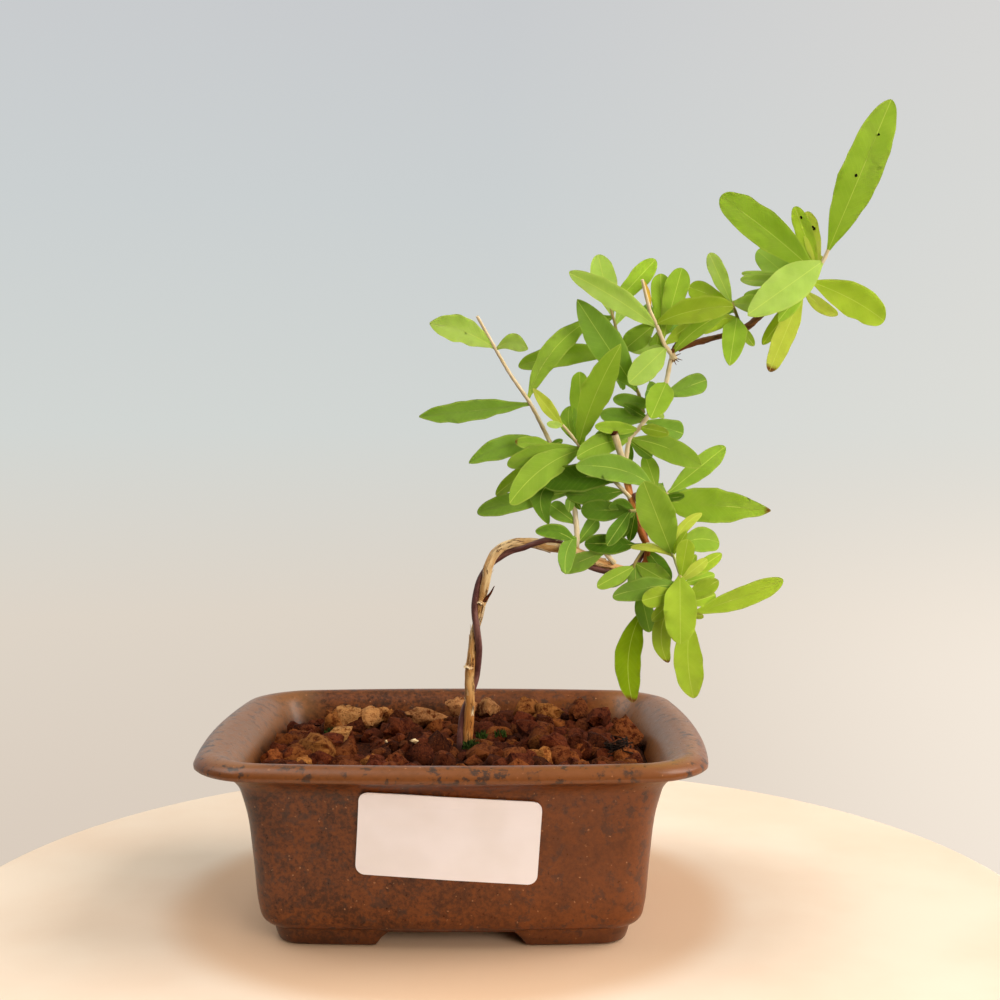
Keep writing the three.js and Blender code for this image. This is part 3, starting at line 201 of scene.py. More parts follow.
SHOOTS = (
    Shoot(
        "left_shoot",
        path=(
            (31.2, 88.4, -1.2), (31.3, 92, 0), (31, 96, 2), (30.5, 100, 4),
            (29.6, 103.5, 5), (27.5, 109, 6.5), (25.2, 114, 7), (22, 120.5, 6.5),
            (19.5, 125.2, 6), (14.5, 132.5, 5), (11.5, 137.6, 4), (6.3, 146.8, 1),
        ),
        radii=(0.75, 0.4),
        leaves=(
            Leaf((10.4, 139.1), (-5.5, 145.2), 6.4, Tone.LIGHT, reach=-3, full=0.58, bow=-1.2,
                 sharp=0.8, wavy=0.24),
            Leaf((10.4, 138.3), (19, 138.9), 4, Tone.LIGHT, reach=-3, full=0.7, turn=0, bow=1.9, sharp=1),
            Leaf((19.4, 125.1), (-8.2, 122), 5, Tone.MID, reach=4, full=0.6, sharp=0.9, wavy=0.2),
            Leaf((19.5, 126.5), (34.5, 146), 5.4, Tone.FRESH, reach=3, bow=2.6, sharp=0.7, wavy=0.16),
            Leaf((24.8, 115), (15.8, 115.8), 3.1, Tone.FRESH, reach=-6, dry=True, sharp=0.2),
            Leaf((24.3, 115.2), (4.2, 110.5), 5.4, Tone.MID, reach=1, bow=-1.9, sharp=0.9, wavy=0.14),
            Leaf((25, 115.2), (27.7, 116.1), 1.3, Tone.MID, reach=-3),
            Leaf((29.8, 102.9), (6.3, 98), 4.9, Tone.MID, reach=5, bow=-0.8, full=0.6),
            Leaf((28.3, 107), (23.9, 95.3), 5.4, Tone.DARK, reach=-2, bow=-4, full=0.5),
            Leaf((30.2, 102.6), (29.2, 98.3), 2.3, Tone.MID, reach=-4),
            Leaf((30.7, 101.8), (32.2, 98.9), 1.3, Tone.DARK, reach=-2),
            Leaf((30.9, 95.2), (24.6, 99.9), 4.2, Tone.MID, reach=5, full=0.72),
            Leaf((31.1, 92.3), (28.4, 82.7), 4.1, Tone.MID, reach=-9, bow=-1.2),
            Leaf((31.6, 89.9), (36.3, 96.3), 3.5, Tone.MID, reach=6, full=0.7),
            Leaf((30.8, 90.3), (20.9, 93.4), 3.4, Tone.DARK, reach=-5, bow=-1.4),
            Leaf((28.2, 107.5), (26.4, 112), 5.2, Tone.MID, reach=17),
            Leaf((30.5, 100.5), (33.5, 103.6), 5, Tone.MID, reach=16),
        ),
        skin=Skin.STRAW,
    ),
    Shoot(
        "centre_shoot",
        path=(
            (44.6, 101.6, 2), (42.2, 104.1, 2), (40.3, 106.1, 2.3), (38, 108, 3),
            (35, 110.8, 3.5), (32.4, 113.7, 3), (30, 117, 2), (27.6, 119.8, 0.5),
        ),
        radii=(0.6, 0.35),
        leaves=(
            Leaf((27.4, 120.3), (20.2, 129), 3, Tone.YELLOW, reach=-3, sharp=1),
            Leaf((27.3, 119.6), (23.7, 120.2), 1.6, Tone.LIGHT, reach=-4),
            Leaf((31, 115.6), (29.4, 124.5), 4.5, Tone.FRESH, reach=4, bow=1, full=0.6),
            Leaf((32.1, 115), (30.4, 122), 4, Tone.FRESH, reach=3, turn=60),
            Leaf((32.4, 115.4), (42.1, 140), 7, Tone.BRIGHT, reach=-10, bow=1, sharp=0.9, wavy=0.2),
            Leaf((33.6, 114.4), (31.8, 133), 5.2, Tone.BRIGHT, reach=7, full=0.72),
            Leaf((31.6, 113), (14.5, 100.3), 7, Tone.FRESH, reach=-9, bow=-2),
            Leaf((31, 113.4), (13.8, 110), 5, Tone.FRESH, reach=-1, bow=-0.6),
            Leaf((30.5, 112.6), (10.9, 102.5), 4, Tone.FRESH, reach=4, bow=-1.5),
            Leaf((40.5, 105.8), (23, 105.2), 6.6, Tone.DEEP, reach=-3, bow=-1.3),
            Leaf((43, 103.4), (28.5, 102.6), 4.8, Tone.DARK, reach=1, bow=0.5),
            Leaf((38, 108), (36, 113), 6, Tone.MID, reach=18),
            Leaf((35, 110.8), (33, 108), 5.5, Tone.MID, reach=16),
        ),
        skin=Skin.STRAW,
    ),
    Shoot(
        "middle_spray",
        path=(
            (43.1, 108.2, 4.6), (43.6, 112, 4.8), (44.4, 116.3, 4.4), (46.6, 118.8, 4),
            (48.2, 121, 4), (50.6, 124.6, 5), (52.8, 127.4, 6), (53.5, 130.5, 6.5),
            (54.3, 134.8, 6.5), (54.9, 136.9, 6.5),
        ),
        radii=(0.65, 0.6),
        leaves=(
            Leaf((46.4, 118.9), (35.7, 119.6), 3, Tone.BRIGHT, reach=-7),
            Leaf((48, 121.2), (37, 122.6), 4.2, Tone.MID, reach=3),
            Leaf((49.5, 125.8), (40.2, 126.4), 3.4, Tone.MID, reach=1),
            Leaf((48.2, 122), (42.8, 125.2), 2.2, Tone.DARK, reach=-1),
            Leaf((46.4, 118.5), (35.6, 117), 3.6, Tone.MID, reach=-2),
            Leaf((44.2, 116.6), (31.2, 111.8), 5.6, Tone.FRESH, reach=-8, bow=-1, arch=0),
            Leaf((48.3, 120.8), (57.8, 117.9), 4.6, Tone.MID, reach=2, full=0.75),
            Leaf((47, 119.2), (54.2, 117.7), 2.8, Tone.LIME, reach=-8),
            Leaf((44.5, 116.5), (62.3, 109.8), 5.6, Tone.FRESH, reach=-5, bow=1),
            Leaf((44.3, 116.1), (50, 112), 2.9, Tone.MID, reach=3),
            Leaf((44, 116), (44.2, 110.6), 2.3, Tone.DARK, reach=5),
            Leaf((52.9, 130.6), (49.7, 121.6), 6.2, Tone.BRIGHT, reach=-12, full=0.45),
            Leaf((52.9, 126.9), (63.5, 131), 5, Tone.MID, reach=2, full=0.74),
            Leaf((50.8, 123.2), (53, 121.8), 1.3, Tone.LIGHT, reach=-2),
            Leaf((48.2, 121), (44, 124), 5, Tone.MID, reach=17),
            Leaf((52.8, 127.4), (48.5, 128.5), 5, Tone.MID, reach=16),
        ),
        skin=Skin.STRAW,
    ),
    Shoot(
        "top_spray",
        path=(
            (55, 137, 6.5), (53, 139.6, 5), (52, 142, 4), (50.8, 144.9, 3),
            (49.4, 147.8, 2.3), (48.5, 151, 1.5), (47.3, 155.8, 0),
        ),
        radii=(0.65, 0.4),
        leaves=(
            Leaf((53.3, 139), (44.2, 130.3), 6.2, Tone.LIGHT, reach=-9),
            Leaf((52.3, 138.5), (43, 140.3), 4.6, Tone.LIGHT, reach=3),
            Leaf((50.6, 145.2), (43.2, 139), 5.4, Tone.FRESH, reach=5),
            Leaf((50.9, 144.2), (29.2, 157.8), 5.4, Tone.LIGHT, reach=-8, bow=-0.7, full=0.5,
                 sharp=0.3, wavy=0.1),
            Leaf((53, 141.5), (51.9, 157.3), 5, Tone.BRIGHT, reach=4, full=0.72),
            Leaf((53.3, 141.3), (57.2, 158.7), 5.8, Tone.BRIGHT, reach=2, full=0.75),
            Leaf((51.2, 145.3), (70, 149.5), 5.9, Tone.LIME, reach=-9, bow=1.2),
            Leaf((53.8, 140.3), (60, 145.3), 3, Tone.LIME, reach=1),
            Leaf((55.4, 138), (68.2, 148), 3.8, Tone.BRIGHT, reach=-5, bow=1.2),
            Leaf((51.8, 143.5), (50.8, 137.8), 3.4, Tone.FRESH, reach=4),
            Leaf((52, 142), (55, 147), 5.5, Tone.MID, reach=18),
            Leaf((50.8, 145), (47, 148.5), 5, Tone.MID, reach=17),
            Leaf((49.6, 148), (47.3, 156), 1.9, Tone.STRAW, turn=40, full=0.45),
        ),
        skin=Skin.STRAW,
    ),
    Shoot(
        "inner_spray",
        path=(
            (47.8, 122.8, 6.2), (47.4, 125, 7.2), (46.3, 128.2, 8), (44, 133, 9.5),
            (42, 138.5, 11), (40.8, 144, 12), (39.3, 149.5, 13),
        ),
        radii=(0.5, 0.35),
        leaves=(
            Leaf((46.2, 128.3), (31.2, 151), 8, Tone.MID, reach=-7, sharp=0.8, wavy=0.08),
            Leaf((42.3, 137.6), (16.6, 134.6), 5.4, Tone.FRESH, reach=6, bow=-1.5, full=0.6, sharp=0.3),
            Leaf((40, 146.5), (36.3, 162), 6, Tone.LIGHT, reach=4, full=0.62),
            Leaf((39.6, 148.8), (50.6, 160.8), 5, Tone.BRIGHT, reach=3, full=0.65),
            Leaf((40.6, 144.6), (43.5, 150.5), 2.8, Tone.LIGHT, reach=8),
            Leaf((39.7, 146.7), (33, 144), 4, Tone.MID, reach=6),
            Leaf((44, 133), (41, 131), 5.5, Tone.MID, reach=17),
            Leaf((42, 138.5), (38.5, 141), 5, Tone.MID, reach=16),
        ),
    ),
    Shoot(
        "branch_spray",
        path=(
            (71.6, 143.4, 7.4), (71.2, 146, 6.6), (70.4, 148.2, 6), (69.6, 150.2, 5.5),
        ),
        radii=(0.5, 0.4),
        leaves=(
            Leaf((69.3, 151), (64, 162.4), 4, Tone.LIGHT, reach=-2, full=0.6, sharp=0),
            Leaf((69.3, 150.2), (78, 150), 4.3, Tone.LIGHT, reach=2),
            Leaf((69.5, 150.6), (58.9, 154), 4.6, Tone.LIME, reach=6, full=0.7),
            Leaf((71, 146.4), (62.5, 142.9), 3.4, Tone.LIME, reach=-2, bow=-1.1),
            Leaf((71.3, 146.8), (69.2, 134.8), 6, Tone.BRIGHT, reach=-10, full=0.42, sharp=0.6),
            Leaf((71.5, 144.6), (75.3, 139.7), 2.3, Tone.BRIGHT, reach=-1),
            Leaf((70.4, 148.2), (66, 149.5), 5, Tone.MID, reach=17),
            Leaf((71, 146.5), (70.5, 142), 4.5, Tone.MID, reach=15),
        ),
    ),
    Shoot(
        "crown_spray",
        path=(
            (87.4, 153.4, 9), (89.3, 155.5, 8.8), (91.2, 158.8, 8.4), (92.4, 160.8, 8),
            (93.4, 163.2, 7.5),
        ),
        radii=(0.6, 0.5),
        leaves=(
            Leaf((92, 160.5), (73.6, 147.2), 9, Tone.LIGHT, reach=-12, full=0.48, sharp=0.6, wavy=0.05),
            Leaf((89.5, 158.3), (66.7, 176.4), 8.6, Tone.BRIGHT, reach=8, bow=-0.9, turn=-8,
                 sharp=0, wavy=0.08),
            Leaf((86, 154.5), (75.8, 163), 6, Tone.LIGHT, reach=12),
            Leaf((86, 155.5), (71.7, 156), 3, Tone.LIGHT, reach=5),
            Leaf((86, 156.5), (72, 157.5), 1.8, Tone.LIGHT, reach=7),
            Leaf((87, 153.8), (72.6, 152), 2.8, Tone.LIGHT, reach=8),
            Leaf((90, 158.8), (85, 173.8), 4.2, Tone.LIME, reach=4, sharp=0, marks=((0.8, 0.3),)),
            Leaf((90.5, 159), (88, 172.6), 4.2, Tone.YELLOW, reach=3, sharp=0,
                 marks=((0.79, 0), (0.7, 0.3), (0.66, 0.45))),
            Leaf((92.8, 161), (88.5, 161.6), 2.2, Tone.YELLOW, reach=4),
            Leaf((93.4, 163), (108.6, 200), 9.6, Tone.BRIGHT, reach=-6, full=0.5, sharp=0.25,
                 wavy=0.08, marks=((0.49, -0.15), (0.77, 0.1))),
            Leaf((89.4, 155.5), (107.6, 145.9), 8, Tone.LIME, reach=4, bow=0.9, sharp=0.1),
            Leaf((87.6, 153.4), (96, 147.3), 3, Tone.YELLOW, reach=-3, bow=-0.8),
            Leaf((87.4, 153.2), (81.2, 145.6), 3.4, Tone.BRIGHT, reach=-7, sharp=0.6),
            Leaf((87.4, 153.2), (79.2, 133.3), 5, Tone.YELLOW, reach=-4, dry=True, sharp=0),
            Leaf((87.4, 153.4), (77.3, 140), 3.4, Tone.LIME, reach=3),
            Leaf((89.3, 155.3), (84, 158), 6, Tone.MID, reach=18),
            Leaf((91, 158.5), (86, 163), 6, Tone.MID, reach=16),
        ),
        skin=Skin.STRAW,
    ),
    Shoot(
        "right_spray",
        path=(
            (47.8, 93.6, 3.4), (49.5, 97, 5), (51.8, 100.5, 6.5), (54, 102.8, 7),
        ),
        radii=(0.6, 0.45),
        leaves=(
            Leaf((54.2, 103), (68.3, 114.4), 5.2, Tone.FRESH, reach=4),
            Leaf((52.5, 100.5), (79.8, 98.5), 8.4, Tone.BRIGHT, reach=-4, full=0.4, dry=True,
                 wavy=0.18, sharp=1),
            Leaf((53.2, 101), (58.2, 102.3), 2, Tone.DARK, reach=-7),
            Leaf((53.5, 102.8), (50.6, 104.8), 2.4, Tone.LIGHT, reach=3),
            Leaf((50.4, 104.6), (31, 109.8), 6.2, Tone.MID, reach=-13, bow=-2),
            Leaf((51.2, 103.8), (48.3, 112.2), 4.4, Tone.FRESH, reach=2),
            Leaf((51.8, 100.5), (50, 104), 6, Tone.MID, reach=18),
            Leaf((49.5, 97), (52.5, 94), 5.5, Tone.MID, reach=17),
            Leaf((54, 102.6), (59, 101), 5.5, Tone.MID, reach=17),
        ),
        skin=Skin.STRAW,
    ),
    Shoot(
        "hanging_spray",
        path=(
            (48.8, 89.9, -1.4), (50.5, 89.7, -2.5), (52.8, 88.9, -4), (55.2, 87.5, -5.5),
            (56.4, 84.6, -7), (57.3, 82, -8), (58.8, 77.5, -8.5), (60.1, 73.2, -8),
            (59.9, 70.4, -7.5),
        ),
        radii=(0.5, 0.4),
        leaves=(
            Leaf((55.5, 87.6), (48, 105.7), 8.6, Tone.FRESH, reach=-5),
            Leaf((57.6, 81.8), (59, 91.2), 4.3, Tone.LIME, reach=-3, full=0.75),
            Leaf((55.6, 87.2), (62.5, 97.8), 2.5, Tone.YELLOW, reach=1, bow=1.8),
            Leaf((55.8, 87.6), (58.8, 93.4), 1.8, Tone.LIME, reach=-3),
            Leaf((57.2, 82.4), (57.4, 65), 8, Tone.LIME, reach=-8, full=0.5),
            Leaf((59.8, 70.6), (60.8, 51.3), 7, Tone.LIME, reach=-3, full=0.5, bow=-1),
            Leaf((55.5, 75.5), (54.2, 60.3), 4.4, Tone.LIME, bow=-2.2, dry=True),
            Leaf((56, 76.5), (50.2, 70.8), 3, Tone.LIME, reach=-1),
            Leaf((60.4, 72.6), (83.1, 81), 5, Tone.LIME, reach=1, full=0.6, bow=-0.4, turn=8, arch=0.02),
            Leaf((60.1, 72.3), (63.2, 71.8), 1.3, Tone.YELLOW, reach=-3),
            Leaf((60, 75.2), (66.2, 77.2), 3.2, Tone.LIME, reach=2),
            Leaf((59.3, 76.8), (66.9, 80.8), 4, Tone.LIME, reach=-2),
            Leaf((58.3, 80.2), (65.9, 82.3), 2.6, Tone.BRIGHT, reach=2),
            Leaf((57.8, 81.2), (64, 86.2), 2.7, Tone.YELLOW, reach=1),
            Leaf((58, 81), (67.6, 87.6), 3, Tone.LIME, reach=4),
            Leaf((57.8, 82), (61.2, 87.3), 2, Tone.LIME, reach=6),
            Leaf((56.3, 89.5), (67, 90.3), 5.8, Tone.FRESH, reach=4, bow=1.3),
            Leaf((56, 78), (47.7, 75.7), 4.6, Tone.LIME, reach=-2),
            Leaf((57, 79.3), (40.3, 76.8), 4.8, Tone.MID, reach=2, bow=-0.8),
            Leaf((46, 89.8), (33.2, 90.2), 4.8, Tone.DEEP, reach=-2.5),
            Leaf((58.8, 77.5), (56, 74), 6, Tone.MID, reach=18),
            Leaf((60.1, 73.2), (57.5, 71), 5, Tone.MID, reach=17),
            Leaf((55.2, 87.2), (44.8, 89.3), 1.5, Tone.YELLOW, reach=-1, bow=-0.8),
        ),
        skin=Skin.LIME,
    ),
    Shoot(
        "lower_spray",
        path=(
            (48.3, 88.9, 0.2), (47.2, 87.4, -0.6), (46, 85.5, -1.4), (45.6, 84.4, -1.6),
            (46.3, 81.5, -0.6), (47.5, 77.5, 0.2), (48.3, 73.8, 0.6),
        ),
        radii=(0.4, 0.3),
        leaves=(
            Leaf((44.8, 84.7), (36.4, 79.3), 3.8, Tone.FRESH, reach=-4),
            Leaf((45.3, 83.8), (39.2, 79.6), 2.6, Tone.MID, reach=2),
            Leaf((46, 85), (46.3, 77), 4.2, Tone.MID, reach=-1),
            Leaf((46.3, 85), (55, 80), 4.8, Tone.FRESH, reach=-3),
            Leaf((48.4, 88.9), (54.9, 81.1), 3.8, Tone.DARK, reach=-1),
            Leaf((46.9, 79.2), (49.6, 68), 4.6, Tone.MID, reach=-3),
            Leaf((48.2, 74), (45.4, 50.2), 6.4, Tone.OLIVE, reach=-4, bow=-2.4, dry=True),
            Leaf((47.5, 77.5), (49, 81), 5, Tone.MID, reach=16),
        ),
    ),
    Shoot(
        "knot_spray",
        path=(
            (46.2, 98.4, 0.6), (45.4, 98.3, -1.2), (44.4, 98.3, -2.8),
        ),
        radii=(0.5, 0.4),
        leaves=(
            Leaf((44.6, 98.4), (32.3, 98.7), 5.1, Tone.DARK, reach=3, full=0.6),
            Leaf((45.6, 99.3), (39.2, 99.4), 2.7, Tone.DARK, reach=-2, bow=-1.2),
            Leaf((44.6, 98), (38.9, 89.8), 3.7, Tone.DARK, reach=-5),
            Leaf((45.2, 98), (41.4, 91.2), 2.9, Tone.DARK, reach=1),
            Leaf((46, 97.3), (44.5, 91), 2.6, Tone.DEEP, reach=2),
            Leaf((45.6, 98), (43.9, 96.9), 1.4, Tone.DARK, reach=-2),
        ),
    ),
    Shoot(
        "bend_spray",
        path=(
            (40.6, 85.2, -1.4), (39.2, 86.8, -2.4), (38, 88, -3),
        ),
        radii=(0.75, 0.5),
        leaves=(
            Leaf((38, 88), (27.3, 83.6), 4.3, Tone.MID, reach=1),
            Leaf((38.6, 87.4), (41, 91), 5, Tone.MID, reach=15),
        ),
        skin=Skin.STRAW,
    ),
)


# ---------------------------------------------------------------- places and curves


def place(x: float, z: float, depth: float) -> Vector:
    """Pushes a point of the drawing back along the line from EYE.

    Args:
        x: Distance to the right on the front plane, in millimetres.
        z: Height on the front plane, in millimetres.
        depth: How far behind the front plane the point lies.

    Returns:
        The point in the pot's frame, in millimetres.
    """
    reach = (depth - EYE.y) / -EYE.y
    return Vector((EYE.x + (x - EYE.x) * reach, depth, EYE.z + (z - EYE.z) * reach))


def along(values: Sequence[float], share: float) -> float:
    """Reads a list at a share of its length, with straight lines between its items.

    Args:
        values: The list.
        share: Where to read it, from 0 at its start to 1 at its end.

    Returns:
        The value there.
    """
    spot = min(max(share, 0.0), 1.0) * (len(values) - 1)
    low = min(int(spot), len(values) - 2)
    return values[low] + (values[low + 1] - values[low]) * (spot - low)


def eased(value: float, low: float, high: float) -> float:
    """Rises smoothly from 0 at low to 1 at high.

    Args:
        value: The number to ease.
        low: Where the rise begins.
        high: Where it ends; below low for a fall.

    Returns:
        The eased share.
    """
    share = min(max((value - low) / (high - low), 0.0), 1.0)
    return share * share * (3 - 2 * share)


class Curve:
    """A smooth line through given points, walked evenly by its length."""

    FINENESS: ClassVar[int] = 14  # straight pieces between two points

    def __init__(self, points: Sequence[Vector]) -> None:
        """Draws the line.

        Args:
            points: The points that it passes through.
        """
        ends = [points[0] * 2 - points[1], *points, points[-1] * 2 - points[-2]]
        self.dense = [
            self._between(ends[i : i + 4], step / self.FINENESS)
            for i in range(len(points) - 1)
            for step in range(self.FINENESS)
        ]
        self.dense.append(points[-1].copy())
        self.lengths = [0.0]
        for a, b in zip(self.dense, self.dense[1:]):
            self.lengths.append(self.lengths[-1] + (b - a).length)

    @staticmethod
    def _between(four: Sequence[Vector], share: float) -> Vector:
        """Gives a point between the middle two of four, on a centripetal spline.

        Args:
            four: The points.
            share: From 0 at the second point to 1 at the third.

        Returns:
            The point between.
        """
        a, b, c, d = four
        before, middle, after = (max((q - p).length, SHORTEST) ** 0.5 for p, q in ((a, b), (b, c), (c, d)))
        leave = (b - a) / before - (c - a) / (before + middle) + (c - b) / middle
        arrive = (c - b) / middle - (d - b) / (middle + after) + (d - c) / after
        leave, arrive = leave * middle, arrive * middle
        square, cube = share**2, share**3
        return (
            b * (2 * cube - 3 * square + 1)
            + leave * (cube - 2 * square + share)
            + c * (3 * square - 2 * cube)
            + arrive * (cube - square)
        )

    @property
    def length(self) -> float:
        """The length of the line in millimetres."""
        return self.lengths[-1]

    def at(self, share: float) -> Vector:
        """Gives the point at a share of the length.

        Args:
            share: From 0 at the start to 1 at the end.

        Returns:
            The point.
        """
        goal = min(max(share, 0.0), 1.0) * self.length
        low, high = 0, len(self.lengths) - 1
        while high - low > 1:
            middle = (low + high) // 2
            low, high = (middle, high) if self.lengths[middle] <= goal else (low, middle)
        span = self.lengths[high] - self.lengths[low] or 1.0
        return self.dense[low].lerp(self.dense[high], (goal - self.lengths[low]) / span)

    def frames(self, steps: int) -> list[tuple[Vector, Vector, Vector]]:
        """Carries a pair of cross directions along the line without twisting them.

        Args:
            steps: The number of equal lengths to walk.

        Returns:
            For each end of a step, the point and the two cross directions.
        """
        centres = [self.at(step / steps) for step in range(steps + 1)]
        side = Vector((0, 1, 0))
        found = []
        for i, centre in enumerate(centres):
            ahead = (centres[min(i + 1, steps)] - centres[max(i - 1, 0)]).normalized()
            side = (side - ahead * side.dot(ahead)).normalized()
            found.append((centre, side.copy(), ahead.cross(side)))
        return found


def hex_to_linear(colour: str) -> tuple[float, float, float, float]:
    """Turns an sRGB hex colour into the linear numbers that a shader takes.

    Args:
        colour: Six hex digits after a hash.

    Returns:
        Red, green, blue and an alpha of 1.
    """
    shares = [int(colour[i : i + 2], 16) / 255 for i in (1, 3, 5)]
    linear = [s / 12.92 if s <= 0.04045 else ((s + 0.055) / 1.055) ** 2.4 for s in shares]
    return (linear[0], linear[1], linear[2], 1.0)


# ---------------------------------------------------------------- finishes


def per(size_mm: float) -> float:
    """Gives the texture scale at which a pattern on metres repeats about every size_mm."""
    return 1.0 / (size_mm * MM)


# What a node of these kinds is set to, unless a call says otherwise.
USUAL: dict[str, dict[str, str]] = {
    "MapRange": {"interpolation_type": "SMOOTHSTEP"},
    "Math": {"operation": "MULTIPLY"},
    "Mix": {"data_type": "RGBA"},
}


def add(tree: Tree, kind: str, **settings: Any) -> Node:
    """Adds a shader node with its settings and links.

    Args:
        tree: The node tree to add to.
        kind: The node's type, without its ShaderNode prefix.
        **settings: Properties and inputs by their plain names. A socket as the value is
            linked, and so is a node, by the first output that is in use. A hex string is
            a colour, values fills the inputs in order, and stops fills a colour ramp.

    Returns:
        The new node.
    """
    node = tree.nodes.new("ShaderNode" + kind)
    inputs: list[tuple[bpy.types.NodeSocket, Any]] = []
    for name, value in (USUAL.get(kind, {}) | settings).items():
        if name == "stops":
            ramp = node.color_ramp.elements
            while len(ramp) < len(value):
                ramp.new(0.5)
            for element, (position, colour) in zip(ramp, value):
                element.position = position
                element.color = hex_to_linear(colour)
        elif name == "values":
            inputs += zip([socket for socket in node.inputs if socket.enabled], value)
        else:
            plain = name.replace("_", " ")
            socket = next((s for s in node.inputs if s.enabled and s.name.lower() == plain), None)
            if socket:
                inputs.append((socket, value))
            else:
                setattr(node, name, value)
    for socket, value in inputs:
        if isinstance(value, Node):
            value = next(output for output in value.outputs if output.enabled)
        if isinstance(value, bpy.types.NodeSocket):
            tree.links.new(value, socket)
        else:
            socket.default_value = hex_to_linear(value) if isinstance(value, str) else value
    return node


def coated(
    tree: Tree, ground: Any, coat: Any, pattern: Any, low: float, high: float, most: Any = 1.0
) -> Node:
    """Lays a coat of colour over a ground where a pattern goes from low to high.

    Args:
        tree: The node tree.
        ground: The colour underneath.
        coat: The colour laid over it.
        pattern: What says where the coat lies.
        low: The pattern's value where the coat starts.
        high: Its value where the coat is thickest.
        most: How much of the ground the coat hides there.

    Returns:
        The node that gives the coated colour.
    """
    share = add(tree, "MapRange", value=pattern, from_min=low, from_max=high, to_max=most)
    return add(tree, "Mix", factor=share, a=ground, b=coat)


@dataclass(frozen=True)
class Finish:
    """The look of one real material. Each kind fills in its own surface."""

    name: str
    slot: str

    def material(self) -> bpy.types.Material:
        """Makes the material, or finds it if it is made already.

        Returns:
            The material.
        """
        made = bpy.data.materials.get(self.name)
        if made:
            return made
        made = bpy.data.materials.new(self.name)
        made.use_nodes = True
        tree = made.node_tree
        tree.nodes.clear()
        add(tree, "OutputMaterial", surface=self.surface(tree))
        return made

    def surface(self, tree: Tree) -> Node:
        """Builds the surface shader.

        Args:
            tree: The material's node tree.

        Returns:
            The shader node.
        """
        raise NotImplementedError


@dataclass(frozen=True)
class Glaze(Finish):
    """Iron-brown glaze on stoneware: a satin skin of rust, umber and slate in clouds."""

    umber: str = "#3a1a06"
    rust: str = "#763e17"
    smoke: str = "#2b160b"
    slate: str = "#2e2a29"
    lip: str = "#83502c"
    # the paler colour painted on the two short ends as a painted sheen
    clay: str = "#9c7049"
    pinprick: str = "#c2895c"
    # the painted shade at the feet
    foot: str = "#3c2013"

    def surface(self, tree: Tree) -> Node:
        """Builds the glaze: clouds of 9 mm, smudges of 3 mm, flecks of 1 mm, pinpricks.

        Args:
            tree: The material's node tree.

        Returns:
            The shader node.
        """
        where = add(tree, "TexCoord").outputs["Object"]
        rightwards, _, height = add(tree, "SeparateXYZ", vector=where).outputs
        thinness = add(tree, "Attribute", attribute_name=TONE).outputs["Color"]
        on_lip, sheen_at_ends, _ = add(tree, "SeparateColor", color=thinness).outputs
        clouds = add(tree, "TexNoise", vector=where, scale=per(9.0), detail=5.0, roughness=0.62)
        smudges = add(tree, "TexNoise", vector=where, scale=per(3.0), detail=4.0, roughness=0.68)
        flecks = add(tree, "TexNoise", vector=where, scale=per(1.1), detail=4.0, roughness=0.75)
        grains = add(tree, "TexNoise", vector=where, scale=per(0.42), detail=2.0)
        mottle = add(tree, "Mix", data_type="FLOAT", factor=0.35, a=flecks, b=clouds)
        body = coated(tree, self.umber, self.rust, mottle, 0.38, 0.62)
        # Towards the right the glaze is painted more rust and lighter, partly its own variation and partly
        # painted light from the right side.
        body = coated(tree, body, self.rust, rightwards, -48 * MM, 18 * MM, 0.55)
        # The smudges lie thicker under the lip and along the lower edge.
        under_lip = add(tree, "MapRange", value=height, from_min=30 * MM, from_max=37 * MM)
        low_down = add(tree, "MapRange", value=height, from_min=13 * MM, from_max=7 * MM)
        edges = add(tree, "Math", operation="ADD", values=(under_lip, low_down))
        smudged_near_edges = add(tree, "MapRange", interpolation_type="LINEAR", value=edges, to_min=0.22, to_max=0.6)
        body = coated(tree, body, self.smoke, smudges, 0.52, 0.68, smudged_near_edges)
        # The glaze thins on the turned-out lip, where the clay shows warmer through it. At the two short ends
        # the lip and the top of the inside are painted paler, a painted sheen.
        body = add(tree, "Mix", factor=add(tree, "Math", values=(on_lip, 0.75)), a=body, b=self.lip)
        body = add(tree, "Mix", factor=add(tree, "Math", values=(sheen_at_ends, 0.5)), a=body, b=self.clay)
        # Slate spots lie in the clouds, and thicker on the lip.
        spotted = add(tree, "MapRange", interpolation_type="LINEAR", value=on_lip, to_min=0.35, to_max=0.8)
        spotted = add(tree, "MapRange", value=clouds, from_min=0.42, from_max=0.52, to_max=spotted)
        body = coated(tree, body, self.slate, smudges, 0.52, 0.6, spotted)
        # Pores that burst in the kiln leave pale pinpricks, drawn 0.5 mm wide to show.
        pores = add(tree, "TexVoronoi", vector=where, scale=per(2.2)).outputs["Distance"]
        burst = add(tree, "MapRange", value=grains, from_min=0.46, from_max=0.58, to_max=0.6)
        body = coated(tree, body, self.pinprick, pores, 0.15, 0.07, burst)
        # Painted shade: the glaze is darkened over the lowest 6 mm, towards the feet where the pot meets the
        # table.
        body = coated(tree, body, self.foot, height, 6.0 * MM, 1.0 * MM, 0.45)
        swells = add(tree, "Math", values=(clouds, 1.5))
        relief = add(tree, "Math", operation="MULTIPLY_ADD", values=(flecks, 0.4, swells))
        bump = add(tree, "Bump", strength=0.3, distance=0.3 * MM, height=relief)
        gloss = add(
            tree, "MapRange", interpolation_type="LINEAR", value=flecks, from_min=0.3, from_max=0.7,
            to_min=0.26, to_max=0.44,
        )
        return add(tree, "BsdfPrincipled", base_color=body, roughness=gloss, ior=1.45, normal=bump)


